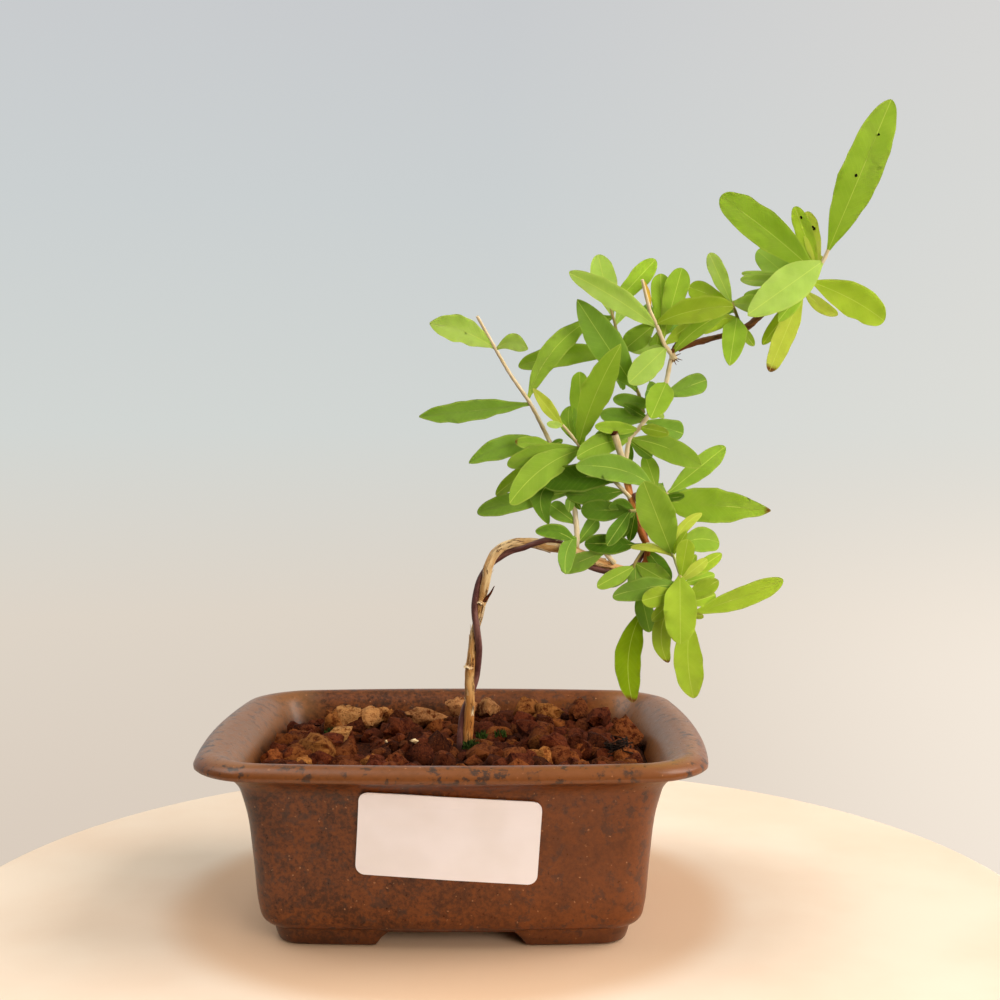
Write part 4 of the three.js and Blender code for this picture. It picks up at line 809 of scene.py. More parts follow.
@dataclass(frozen=True)
class Sticker(Finish):
    """Coated white label paper: flat, a little warm, with a soft sheen."""

    white: str = "#f8f5fa"
    cloudy: str = "#f0ecee"

    def surface(self, tree: Tree) -> Node:
        """Builds the paper with a fibre of 0.3 mm and a faint cloud.

        Args:
            tree: The material's node tree.

        Returns:
            The shader node.
        """
        where = add(tree, "TexCoord").outputs["Object"]
        fibre = add(tree, "TexNoise", vector=where, scale=per(0.3), detail=3.0)
        cloud = add(tree, "TexNoise", vector=where, scale=per(14.0))
        white = coated(tree, self.white, self.cloudy, cloud, 0.3, 0.7)
        bump = add(tree, "Bump", strength=0.05, distance=0.05 * MM, height=fibre)
        return add(tree, "BsdfPrincipled", base_color=white, roughness=0.42, ior=1.5, normal=bump)


@dataclass(frozen=True)
class MouldedMesh(Finish):
    """Injection-moulded polypropylene: near black, dull, dusty with soil."""

    black: str = "#1d2123"
    soiled: str = "#4a3629"

    def surface(self, tree: Tree) -> Node:
        """Builds the plastic with a fine moulding grain of 0.4 mm and dust in spots of 3 mm.

        Args:
            tree: The material's node tree.

        Returns:
            The shader node.
        """
        where = add(tree, "TexCoord").outputs["Object"]
        grain = add(tree, "TexNoise", vector=where, scale=per(0.4), detail=2.0)
        dust = add(tree, "TexNoise", vector=where, scale=per(3.0), detail=4.0)
        colour = coated(tree, self.black, self.soiled, dust, 0.5, 0.75)
        bump = add(tree, "Bump", strength=0.2, distance=0.05 * MM, height=grain)
        return add(tree, "BsdfPrincipled", base_color=colour, roughness=0.6, normal=bump)


@dataclass(frozen=True)
class BakedClay(Finish):
    """Porous baked-clay grains: dull, pitted, each in its own earth colour."""

    shade: str = "#94705c"
    dust: str = "#a8602c"

    def surface(self, tree: Tree) -> Node:
        """Builds the clay from each grain's tone, with pits of 0.9 mm and dust of 0.5 mm.

        Args:
            tree: The material's node tree.

        Returns:
            The shader node.
        """
        tone = add(tree, "Attribute", attribute_name=TONE).outputs["Color"]
        where = add(tree, "TexCoord").outputs["Object"]
        lumps = add(tree, "TexNoise", vector=where, scale=per(1.8), detail=6.0, roughness=0.72)
        pits = add(tree, "TexVoronoi", vector=where, scale=per(0.9)).outputs["Distance"]
        dust = add(tree, "TexNoise", vector=where, scale=per(0.5), detail=2.0)
        dark = add(tree, "Mix", blend_type="MULTIPLY", factor=1.0, a=tone, b=self.shade)
        colour = coated(tree, dark, tone, lumps, 0.36, 0.56)
        colour = coated(tree, colour, self.dust, dust, 0.58, 0.75, 0.3)
        hollow = add(tree, "MapRange", value=pits, from_min=0.3, from_max=0.05, to_max=0.5)
        relief = add(tree, "Math", operation="SUBTRACT", values=(lumps, hollow))
        bump = add(tree, "Bump", strength=0.9, distance=0.9 * MM, height=relief)
        return add(
            tree, "BsdfPrincipled", base_color=colour, roughness=0.95, specular_ior_level=0.12, normal=bump
        )


@dataclass(frozen=True)
class Bark(Finish):
    """Bark drawn out along its stem: soft streaks, torn dark patches and pale skin."""

    base: str = "#dab17c"
    pale: str = "#f5dfb5"
    dark: str = "#5e3720"
    streak: float = 0.5
    torn: float = 0.85
    gloss: float = 0.7
    relief: float = 0.6

    def surface(self, tree: Tree) -> Node:
        """Builds the bark on the straightened stem, in millimetres, so it follows the wood.

        Args:
            tree: The material's node tree.

        Returns:
            The shader node.
        """
        straight = add(tree, "Attribute", attribute_name=NOTE).outputs["Vector"]
        # Streaks about 0.5 mm wide and eight times as long, the run of the bast fibres.
        drawn = add(tree, "Mapping", vector=straight, scale=(1.0, 1.0, 0.12))
        streaks = add(tree, "TexNoise", vector=drawn, scale=1.0 / self.streak, detail=4.0, roughness=0.6)
        # Patches of 3 mm and tears of 2 mm are three times as long as they are wide.
        stretched = add(tree, "Mapping", vector=straight, scale=(1.0, 1.0, 0.3))
        patches = add(tree, "TexNoise", vector=stretched, scale=1.0 / 3.2, detail=3.0, roughness=0.6)
        tears = add(
            tree, "TexNoise", vector=stretched, scale=1.0 / 1.7, detail=5.0, roughness=0.7, lacunarity=2.3
        )
        dots = add(tree, "TexNoise", vector=straight, scale=1.0 / 0.45, detail=2.0)
        shadow = add(tree, "Mix", factor=0.5, a=self.base, b=self.dark)
        colour = coated(tree, shadow, self.base, streaks, 0.3, 0.48)
        colour = coated(tree, colour, self.pale, patches, 0.46, 0.6)
        torn = add(tree, "MapRange", value=tears, from_min=0.54, from_max=0.61, to_max=self.torn)
        colour = add(tree, "Mix", factor=torn, a=colour, b=self.dark)
        colour = coated(tree, colour, self.pale, dots, 0.6, 0.72, 0.35)
        age = add(tree, "Attribute", attribute_name=TONE).outputs["Color"]
        colour = add(tree, "Mix", blend_type="MULTIPLY", factor=1.0, a=colour, b=age)
        relief = add(tree, "Math", operation="MULTIPLY_ADD", values=(patches, 0.6, streaks))
        relief = add(tree, "Math", operation="MULTIPLY_ADD", values=(torn, -0.5, relief))
        bump = add(tree, "Bump", strength=self.relief, distance=0.4 * MM, height=relief)
        return add(tree, "BsdfPrincipled", base_color=colour, roughness=self.gloss, normal=bump)


@dataclass(frozen=True)
class Blade(Finish):
    """A thin soft leaf: dull, lit through, with a pale rib and faint veins."""

    rib: str = "#ccd96a"
    shade: str = "#c4d2b0"
    vein_gap: float = 1.7

    def surface(self, tree: Tree) -> Node:
        """Builds the leaf from its tone and the place on its blade, in millimetres.

        Args:
            tree: The material's node tree.

        Returns:
            The shader node.
        """
        tone = add(tree, "Attribute", attribute_name=TONE).outputs["Color"]
        note = add(tree, "Attribute", attribute_name=NOTE).outputs["Vector"]
        aside, ahead, to_margin = add(tree, "SeparateXYZ", vector=note).outputs
        across = add(tree, "Math", operation="ABSOLUTE", values=(aside,))
        where = add(tree, "TexCoord").outputs["Object"]
        cloud = add(tree, "TexNoise", vector=where, scale=per(5.0), detail=3.0)
        grain = add(tree, "TexNoise", vector=where, scale=per(0.6), detail=3.0)
        # Side veins leave the rib a gap apart, slant towards the tip and wander a little.
        slant = add(tree, "Math", operation="MULTIPLY_ADD", values=(across, -1.1, ahead))
        bent = add(tree, "Math", operation="MULTIPLY_ADD", values=(cloud, 1.2, slant))
        phase = add(tree, "Math", values=(bent, 2 * math.pi / self.vein_gap))
        wave = add(tree, "Math", operation="SINE", values=(phase,))
        colour = add(
            tree, "Mix", blend_type="MULTIPLY", factor=0.3, a=tone,
            b=coated(tree, self.shade, "#ffffff", cloud, 0.3, 0.7),
        )
        colour = coated(tree, colour, self.rib, wave, 0.6, 1.0, 0.025)
        colour = coated(tree, colour, self.rib, to_margin, 0.9, 1.0, 0.15)
        colour = coated(tree, colour, self.rib, across, 0.13, 0.03, 0.45)
        veins = add(tree, "MapRange", value=wave, from_min=0.6, from_max=1.0, to_max=0.5)
        rib = add(tree, "MapRange", value=across, from_min=0.13, from_max=0.03)
        sunk = add(tree, "Math", operation="ADD", values=(veins, rib))
        rough = add(tree, "Math", values=(grain, 0.15))
        relief = add(tree, "Math", operation="SUBTRACT", values=(rough, sunk))
        bump = add(tree, "Bump", strength=0.1, distance=0.1 * MM, height=relief)
        return add(
            tree, "BsdfPrincipled", base_color=colour, roughness=0.85, ior=1.4, specular_ior_level=0.04,
            normal=bump, subsurface_method="BURLEY", subsurface_weight=0.5,
            subsurface_radius=(0.7, 1.0, 0.2), subsurface_scale=0.8 * MM,
        )


@dataclass(frozen=True)
class Rind(Finish):
    """Young twig bark: green or straw, smooth, with darker joints where leaves sat."""

    base: str = "#9a9a4e"
    tint: str = "#c2a468"
    joint: str = "#8a5a34"

    def surface(self, tree: Tree) -> Node:
        """Builds the rind with streaks of 0.35 mm along the twig and joints every 4 mm.

        Args:
            tree: The material's node tree.

        Returns:
            The shader node.
        """
        straight = add(tree, "Attribute", attribute_name=NOTE).outputs["Vector"]
        drawn = add(tree, "Mapping", vector=straight, scale=(1.0, 1.0, 0.15))
        streaks = add(tree, "TexNoise", vector=drawn, scale=1.0 / 0.35, detail=3.0)
        joints = add(tree, "TexNoise", vector=straight, scale=1.0 / 4.0, detail=2.0)
        colour = coated(tree, self.base, self.tint, streaks, 0.35, 0.65)
        colour = coated(tree, colour, self.joint, joints, 0.58, 0.7, 0.5)
        bump = add(tree, "Bump", strength=0.3, distance=0.1 * MM, height=streaks)
        return add(tree, "BsdfPrincipled", base_color=colour, roughness=0.55, normal=bump)


@dataclass(frozen=True)
class Litter(Finish):
    """Bits on the soil, such as moss, a seed or old roots: dull and uneven."""

    base: str = "#2e3c0e"
    tint: str = "#6a7d28"
    size: float = 0.8

    def surface(self, tree: Tree) -> Node:
        """Builds the litter as two colours in patches of its own size.

        Args:
            tree: The material's node tree.

        Returns:
            The shader node.
        """
        where = add(tree, "TexCoord").outputs["Object"]
        patches = add(tree, "TexNoise", vector=where, scale=per(self.size), detail=3.0)
        colour = coated(tree, self.base, self.tint, patches, 0.35, 0.65)
        bump = add(tree, "Bump", strength=0.4, distance=0.2 * MM, height=patches)
        return add(
            tree, "BsdfPrincipled", base_color=colour, roughness=0.9, specular_ior_level=0.15, normal=bump
        )


@dataclass(frozen=True)
class TableTop(Finish):
    """Matt painted board under the pot: pale, warm, barely mottled."""

    paint: str = "#f0dac4"
    cloudy: str = "#f6e6d3"
    disc_and_shadow: str = "#dcb691"

    def surface(self, tree: Tree) -> Node:
        """Builds the paint with a cloud of 60 mm and a fine grain.

        Args:
            tree: The material's node tree.

        Returns:
            The shader node.
        """
        where = add(tree, "TexCoord").outputs["Object"]
        cloud = add(tree, "TexNoise", vector=where, scale=per(60.0), detail=4.0)
        colour = coated(tree, self.paint, self.cloudy, cloud, 0.3, 0.7)
        # The middle, where the pot stands, has a warmer tone that fades out over 14 mm: partly the table's
        # own inner disc, partly painted shadow round the pot.
        centred = add(tree, "Mapping", vector_type="POINT", vector=where, location=-ORIGIN)
        reach = add(tree, "VectorMath", operation="LENGTH", values=(centred,)).outputs["Value"]
        colour = coated(tree, colour, self.disc_and_shadow, reach, 76 * MM, 62 * MM, 0.75)
        grain = add(tree, "TexNoise", vector=where, scale=per(0.8), detail=2.0)
        bump = add(tree, "Bump", strength=0.08, distance=0.2 * MM, height=grain)
        return add(tree, "BsdfPrincipled", base_color=colour, roughness=0.8, normal=bump)


GLAZE = Glaze("iron_brown_glaze", "glaze")
PAPER = Sticker("label_paper", "sticker")
MESH_PLASTIC = MouldedMesh("moulded_polypropylene", "drain_mesh")
CLAY = BakedClay("baked_clay_grains", "soil")
PALE_BARK = Bark("peeling_pale_bark", "pale_bark")
DARK_BARK = Bark(
    "smooth_dark_bark", "dark_bark", base="#5e3834", pale="#835a52", dark="#341b1d", streak=0.7, torn=0.4,
    gloss=0.5, relief=0.35,
)
BRANCH_BARK = Bark(
    "old_branch_bark", "dark_bark", base="#6e4022", pale="#8d5c34", dark="#38200f", streak=0.45, gloss=0.65
)
LEAF = Blade("pomegranate_leaf", "leaf")
RINDS = {
    Skin.GREEN: Rind("green_twig_rind", "leaf"),
    Skin.STRAW: Rind("straw_twig_rind", "pale_bark", base="#e0cb98", tint="#f2e3c2", joint="#c49a68"),
    Skin.LIME: Rind("lime_twig_rind", "leaf", base="#d2dc70", tint="#eef0b4", joint="#c8b860"),
}
# The moss is painted near black green, partly its own dark colour and partly painted shade of the hollow
# where it lies.
MOSS = Litter("cushion_moss", "leaf", base="#141e08", tint="#3f5622")
SEED_HUSK = Litter("seed_husk", "pale_bark", base="#c9a878", tint="#ead2a6", size=1.2)
OLD_ROOTS = Litter("old_roots", "dark_bark", base="#120b08", tint="#2e2018", size=1.0)
CUT_WOOD = Litter("dead_wood", "dark_bark", base="#3c1a10", tint="#6b3a22", size=0.7)
TABLE = TableTop("matt_table_paint", "floor")


# ---------------------------------------------------------------- building a piece


def taper(root: float, tip: float) -> Callable[[float, float], float]:
    """Gives the radius of a round stem that thins evenly.

    Args:
        root: The radius at its root.
        tip: The radius at its tip.

    Returns:
        The radius from the share along the stem and the angle round it.
    """
    return lambda run, angle: root + (tip - root) * run


class Workpiece:
    """A mesh in the making, with a note and a tone on each point for its material."""

    CHIPS: ClassVar[int] = 7  # broken faces on a stone
    CHIP_REACH: ClassVar[float] = 0.7  # how far they lie from its middle, for a radius of 1
    STONE_SWELL: ClassVar[float] = 0.58  # a little over half, as the chips make a stone smaller
    STONE_NOTE: ClassVar[Spot] = (9.0, 0.0, 0.0)  # away from the notes of the stems

    def __init__(self, name: str) -> None:
        """Starts an empty mesh.

        Args:
            name: The name of the object that it becomes.
        """
        self.name = name
        self.mesh = bmesh.new()
        self.note = self.mesh.verts.layers.float_vector.new(NOTE)
        self.tone = self.mesh.verts.layers.float_color.new(TONE)

    def grid(
        self, columns: int, rows: int, placed: Place, noted: Place, tone: Toned | Colour = PLAIN
    ) -> list[bmesh.types.BMVert]:
        """Adds a grid of faces and moves its points by a function.

        Args:
            columns: Faces across.
            rows: Faces along.
            placed: Gives a point's place from its shares across and along.
            noted: Gives the note that the material reads there.
            tone: The colour of all its points, or a function that gives each its own.

        Returns:
            The points.
        """
        made = bmesh.ops.create_grid(self.mesh, x_segments=columns, y_segments=rows, size=1.0)["verts"]
        for vert in made:
            across, run = (vert.co.x + 1) / 2, (vert.co.y + 1) / 2
            vert[self.note] = noted(across, run)
            vert[self.tone] = tone(across, run) if callable(tone) else tone
            vert.co = placed(across, run)
        return made

    def tube(
        self,
        curve: Curve,
        radius: Callable[[float, float], float],
        sides: int,
        steps: int,
        tone: Toned | Colour = PLAIN,
    ) -> None:
        """Adds a round stem along a curve, closed at both ends.

        Args:
            curve: The stem's middle line.
            radius: Gives the radius from the share along it and the angle round it.
            sides: Faces round the stem.
            steps: Faces along it.
            tone: The colour of its points.
        """
        frames = curve.frames(steps)
        rows = steps + 2
        typical = radius(0.5, 0.0)

        def ring(run: float) -> tuple[int, bool]:
            """Gives the step at a share of the rows, and whether it is a closed end."""
            row = round(run * rows)
            return min(max(row - 1, 0), steps), row in (0, rows)

        def placed(across: float, run: float) -> Vector:
            """Puts a point on the stem's skin.

            Args:
                across: The share round the stem.
                run: The share of its rows.

            Returns:
                The point.
            """
            step, closed = ring(run)
            angle = 2 * math.pi * across
            centre, side, up = frames[step]
            reach = 0.0 if closed else radius(step / steps, angle)
            return centre + side * (math.cos(angle) * reach) + up * (math.sin(angle) * reach)

        def noted(across: float, run: float) -> Vector:
            """Gives the same point on the stem laid out straight.

            Args:
                across: The share round the stem.
                run: The share of its rows.

            Returns:
                The note.
            """
            step, _ = ring(run)
            angle = 2 * math.pi * across
            return Vector((math.cos(angle) * typical, math.sin(angle) * typical, curve.length * step / steps))

        made = self.grid(sides, rows, placed, noted, tone)
        bmesh.ops.remove_doubles(self.mesh, verts=made, dist=FINE_WELD)

    def blade(
        self, columns: int, rows: int, placed: Place, noted: Place, tone: Toned | Colour, thickness: float
    ) -> None:
        """Adds a thin sheet with a thickness, such as a leaf or a flake of bark.

        Args:
            columns: Faces across.
            rows: Faces along.
            placed: Gives a point's place from its shares across and along.
            noted: Gives the note that the material reads there.
            tone: The colour of its points.
            thickness: The thickness in millimetres.
        """
        made = self.grid(columns, rows, placed, noted, tone)
        faces = list(dict.fromkeys(face for vert in made for face in vert.link_faces))
        bmesh.ops.solidify(self.mesh, geom=faces, thickness=thickness)

    def lump(self, centre: Vector, sizes: Spot, tone: Colour, seed: int, rounds: int = 2) -> None:
        """Adds a rough stone.

        Args:
            centre: Its middle.
            sizes: Its three diameters.
            tone: Its colour.
            seed: Chooses its shape and turn.
            rounds: How often its faces are split: 2 gives 80.
        """
        stone = Workpiece("stone")
        made = bmesh.ops.create_icosphere(stone.mesh, subdivisions=rounds, radius=1.0)["verts"]
        shift = Vector((seed * 3.7, seed * 1.9, seed * 5.3))
        turn = Matrix.Rotation(seed * 2.4, 3, "Z") @ Matrix.Rotation(math.sin(seed) * 0.5, 3, "X")
        chips = [self._chip(seed, number) for number in range(self.CHIPS)]
        for vert in made:
            rough = 1 + 0.5 * noise.noise(vert.co * 1.5 + shift) + 0.35 * noise.noise(vert.co * 3.3 + shift)
            vert[stone.note] = vert.co * sizes[0] + Vector(self.STONE_NOTE)
            vert[stone.tone] = tone
            point = vert.co * rough
            for face in chips:
                point -= face * max(point.dot(face) - self.CHIP_REACH, 0.0)
            spread = Vector((point.x * sizes[0], point.y * sizes[1], point.z * sizes[2]))
            vert.co = centre + turn @ (spread * self.STONE_SWELL)
        self.absorb(stone)

    @staticmethod
    def _chip(seed: int, number: int) -> Vector:
        """Gives the way that one broken face of a stone looks."""
        x, y = math.sin(seed + number * 2.4), math.cos(seed * 1.7 + number * 1.9)
        return Vector((x, y, math.sin(number * 3.1 - seed))).normalized()

    def absorb(self, other: "Workpiece") -> None:
        """Takes in another mesh, which is used up.

        Args:
            other: The mesh to take in.
        """
        data = bpy.data.meshes.new(other.name)
        other.mesh.to_mesh(data)
        other.mesh.free()
        self.mesh.from_mesh(data)
        bpy.data.meshes.remove(data)

    def finish(self, finish: Finish, stands_for: Sequence[str] = ()) -> None:
        """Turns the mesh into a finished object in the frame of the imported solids.

        Args:
            finish: Its look.
            stands_for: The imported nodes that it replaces.
        """
        mesh = self.mesh
        bmesh.ops.scale(mesh, vec=(MM, MM, MM), verts=mesh.verts)
        bmesh.ops.translate(mesh, vec=ORIGIN, verts=mesh.verts)
        bmesh.ops.recalc_face_normals(mesh, faces=mesh.faces)
        # Solidify lists its parts in a new order each run, so they get one that stays.
        for number, vert in enumerate(sorted(mesh.verts, key=lambda vert: tuple(vert.co))):
            vert.index = number
        for number, face in enumerate(sorted(mesh.faces, key=lambda face: tuple(face.calc_center_median()))):
            face.index = number
        mesh.verts.sort()
        mesh.faces.sort()
        for face in mesh.faces:
            face.smooth = True
        for edge in mesh.edges:
            edge.smooth = edge.calc_face_angle(0.0) < SHARP
        data = bpy.data.meshes.new(self.name)
        mesh.to_mesh(data)
        mesh.free()
        piece = bpy.data.objects.new(self.name, data)
        bpy.context.scene.collection.objects.link(piece)
        piece.data.materials.append(finish.material())
        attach(piece, "root")
        if stands_for:
            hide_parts(*stands_for)
        LOG.info("%s: %d faces", self.name, len(data.polygons))


# ---------------------------------------------------------------- the pot


@dataclass
class Pot:
    """The glazed pot: a bowed rounded rectangle with a turned-out lip and four feet.

    The plan's corner and bow are for a half length of 1. They ease from the wall's to
    the lip's between the two half lengths of turn_out. Each pair of rim heights or reaches
    says where the glaze starts to thin and where it is thinnest, and the throat's pairs and
    end_sides say where the painted sheen on the two short ends starts and where it is fullest.
    """

    half_width: float = 0.8
    wall_corner: float = 0.13
    wall_bow: float = 0.04
    lip_corner: float = 0.2
    lip_bow: float = 0.065
    turn_out: Flat = (49.0, 58.0)
    quarter: Spot = (0.3, 0.3, 0.4)  # the shares of a quarter: short side, corner, long side
    underside: float = 4.2
    floor: float = 9.2
    around: int = 240
    outside: Sequence[Flat] = (
        (43.6, 4.2), (45.2, 5.6), (46.1, 8.8), (47.2, 20.2), (48.2, 29.3), (49.2, 33.8),
        (50.4, 37.2), (52.8, 39.2), (57.5, 40.9), (60.6, 41.5), (61.0, 42.6), (59.8, 44.0),
        (57.2, 44.8), (54.8, 44.5),
    )
    inside: Sequence[Flat] = (
        (52.0, 43.2), (49.6, 40.6), (48.0, 37.0), (46.0, 30.0), (43.8, 14.0), (40.0, 9.2),
    )
    foot_outer: float = 43.0
    foot_inner: float = 32.0
    foot_gaps: Flat = (16.6, 12.0)  # half the arch between the feet, on the long and the short side
    foot_rise: float = 3.2
    foot_slope: Flat = (1.2, -2.0)  # where the arch starts and ends to rise, from there
    drain_x: float = 20.0
    drain_radius: float = 6.0
    drain_sides: int = 40
    floor_reach: float = 36.0
    plate_reach: float = 37.0
    plate_sides: int = 96
    step_reach: float = 41.0
    overlap: float = 0.05
    wall_rows: int = 130
    rim_heights: Flat = (40.4, 42.0)
    rim_reaches: Flat = (54.0, 58.5)
    throat_heights: Flat = (36.0, 41.0)
    throat_reaches: Flat = (60.5, 58.0)
    end_sides: Flat = (0.72, 0.9)

    def outline(self, turn: float, reach: float) -> Vector:
        """Gives a point of the outline that has a given half length.

        Args:
            turn: The share of the way round, from the middle of the right side.
            reach: The half length of the outline.

        Returns:
            The point, at height 0.
        """
        turned_out = eased(reach, *self.turn_out)
        corner = self.wall_corner + (self.lip_corner - self.wall_corner) * turned_out
        bow = self.wall_bow + (self.lip_bow - self.wall_bow) * turned_out
        number, share = divmod((turn % 1.0) * 4, 1.0)
        share = 1 - share if number in (1, 3) else share
        # A quarter runs up the short side, then turns the corner, then runs along the long side.
        short, turning, long = self.quarter
        angle = min(max((share - short) / turning, 0.0), 1.0) * math.pi / 2
        x = (1 - corner) * min((1 - share) / long, 1.0) + corner * math.cos(angle)
        y = (self.half_width - corner) * min(share / short, 1.0) + corner * math.sin(angle)
        tall = y / self.half_width
        bowed_x = x * (1 - bow) + bow * x**4 * (1 - tall**2)
        bowed_y = y * (1 - bow) + bow * tall**4 * (1 - x**2)
        right, back = (1 if number in (0, 3) else -1), (1 if number in (0, 1) else -1)
        return Vector((POT_ASIDE + right * bowed_x * reach, back * bowed_y * reach, 0.0))

    def inner_reach(self, height: float) -> float:
        """Gives the half length of the inside at a height.

        Args:
            height: The height above the feet.

        Returns:
            The half length.
        """
        for (a, high), (b, low) in zip(self.inside, self.inside[1:]):
            if low <= height <= high:
                return b + (a - b) * (height - low) / (high - low)
        return self.inside[0][0]

    def turned(self, work: Workpiece, profile: Sequence[Flat], rows: int) -> None:
        """Adds the wall that a profile gives when it runs round the plan.

        Args:
            work: The mesh to add to.
            profile: Half length and height of each point of the section.
            rows: Faces along the section.
        """
        section = Curve([Vector((r, 0, z)) for r, z in profile])

        def placed(across: float, run: float) -> Vector:
            """Puts a point of the section at its place round the plan.

            Args:
                across: The share round the plan.
                run: The share along the section.

            Returns:
                The point.
            """
            spot = section.at(run)
            return self.outline(across, spot.x) + Vector((0, 0, spot.z))

        def thin_glaze_and_sheen(across: float, run: float) -> Colour:
            """Gives how thin the glaze is on the lip's rim, and how much painted sheen lies on its two short
            ends.

            Args:
                across: The share round the plan.
                run: The share along the section.

            Returns:
                Both shares, as red and green.
            """
            spot = section.at(run)
            bare = eased(spot.z, *self.rim_heights) * eased(spot.x, *self.rim_reaches)
            sideways = abs(self.outline(across, 1.0).x - POT_ASIDE)
            throat = eased(spot.z, *self.throat_heights) * eased(spot.x, *self.throat_reaches)
            return (bare, throat * eased(sideways, *self.end_sides), 0.0, 1.0)

        made = work.grid(self.around, rows, placed, placed, thin_glaze_and_sheen)
        bmesh.ops.remove_doubles(work.mesh, verts=made, dist=WELD)

    def feet(self, work: Workpiece) -> None:
        """Adds the foot ring, whose lower edge lifts into a low arch on each side.

        Args:
            work: The mesh to add to.
        """
        inner, outer, top = self.foot_inner, self.foot_outer, self.underside + 0.6
        section = (
            (inner, top), (inner, 0.5), (inner + 0.15, 0.15), (inner + 0.5, 0.0), (outer - 1.9, 0.0),
            (outer - 1.35, 0.15), (outer - 1.1, 0.5), (outer - 0.5, 2.4), (outer, top), (inner, top),
        )

        def placed(across: float, run: float) -> Vector:
            """Puts a point of the ring, lifted where the arches are.

            Args:
                across: The share round the plan.
                run: The share along the section.

            Returns:
                The point.
            """
            reach, height = section[round(run * (len(section) - 1))]
            spot = self.outline(across, reach)
            aside = abs(spot.x - POT_ASIDE)
            (gap_x, gap_y), (start, end) = self.foot_gaps, self.foot_slope
            open_share = max(
                eased(aside, gap_x + start, gap_x + end) if abs(spot.y) > 0.55 * reach else 0.0,
                eased(abs(spot.y), gap_y + start, gap_y + end) if aside > 0.7 * reach else 0.0,
            )
            spot.z = height + self.foot_rise * open_share * (1 - height / top)
            return spot

        made = work.grid(self.around, len(section) - 1, placed, placed, THICK)
        bmesh.ops.remove_doubles(work.mesh, verts=made, dist=WELD)

    def plate(self, work: Workpiece) -> None:
        """Adds the floor with its two drain holes, from just inside the wall's foot.

        Args:
            work: The mesh to add to.
        """
        mesh = work.mesh
        top = self.floor - self.overlap
        rim = bmesh.ops.create_circle(mesh, cap_ends=False, segments=self.plate_sides, radius=1.0)["verts"]
        for vert in rim:
            turn = math.atan2(vert.co.y, vert.co.x) / (2 * math.pi)
            vert.co = self.outline(turn, self.plate_reach) + Vector((0, 0, top))
        rings = list(rim)
        for side in (-1, 1):
            spot = Matrix.Translation((POT_ASIDE + side * self.drain_x, 0.0, top))
            rings += bmesh.ops.create_circle(
                mesh, cap_ends=False, segments=self.drain_sides, radius=self.drain_radius, matrix=spot
            )["verts"]
        edges = list(dict.fromkeys(edge for vert in rings for edge in vert.link_edges))
        filled = bmesh.ops.triangle_fill(mesh, use_beauty=True, edges=edges)["geom"]
        faces = [part for part in filled if isinstance(part, bmesh.types.BMFace)]
        lowered = bmesh.ops.extrude_face_region(mesh, geom=faces, use_keep_orig=True)["geom"]
        down = Vector((0, 0, self.underside + self.overlap - top))
        verts = [part for part in lowered if isinstance(part, bmesh.types.BMVert)]
        bmesh.ops.translate(mesh, vec=down, verts=verts)

    def build(self) -> None:
        """Makes the pot: its wall, its feet, and its floor with the drain holes."""
        work = Workpiece("glazed_pot")
        low, high = (self.floor_reach, self.underside), (self.floor_reach, self.floor)
        step = (self.step_reach, self.underside)
        self.turned(work, [high, low, step, *self.outside, *self.inside, high], self.wall_rows)
        self.feet(work)
        self.plate(work)
        work.finish(GLAZE, ["pot"])


# ---------------------------------------------------------------- the soil


class Earth(Enum):
    """The colours of the soil's grains."""

    DARK = "#45200f"
    RED = "#5c2b16"
    BROWN = "#6c3a1d"
    ORANGE = "#7e4720"
    OCHRE = "#9d6432"
    TAN = "#b5834f"


@dataclass(frozen=True)
class Grain:
    """A grain that catches the eye: its place, its three sizes and its colour."""

    middle: Spot
    sizes: Spot
    earth: Earth


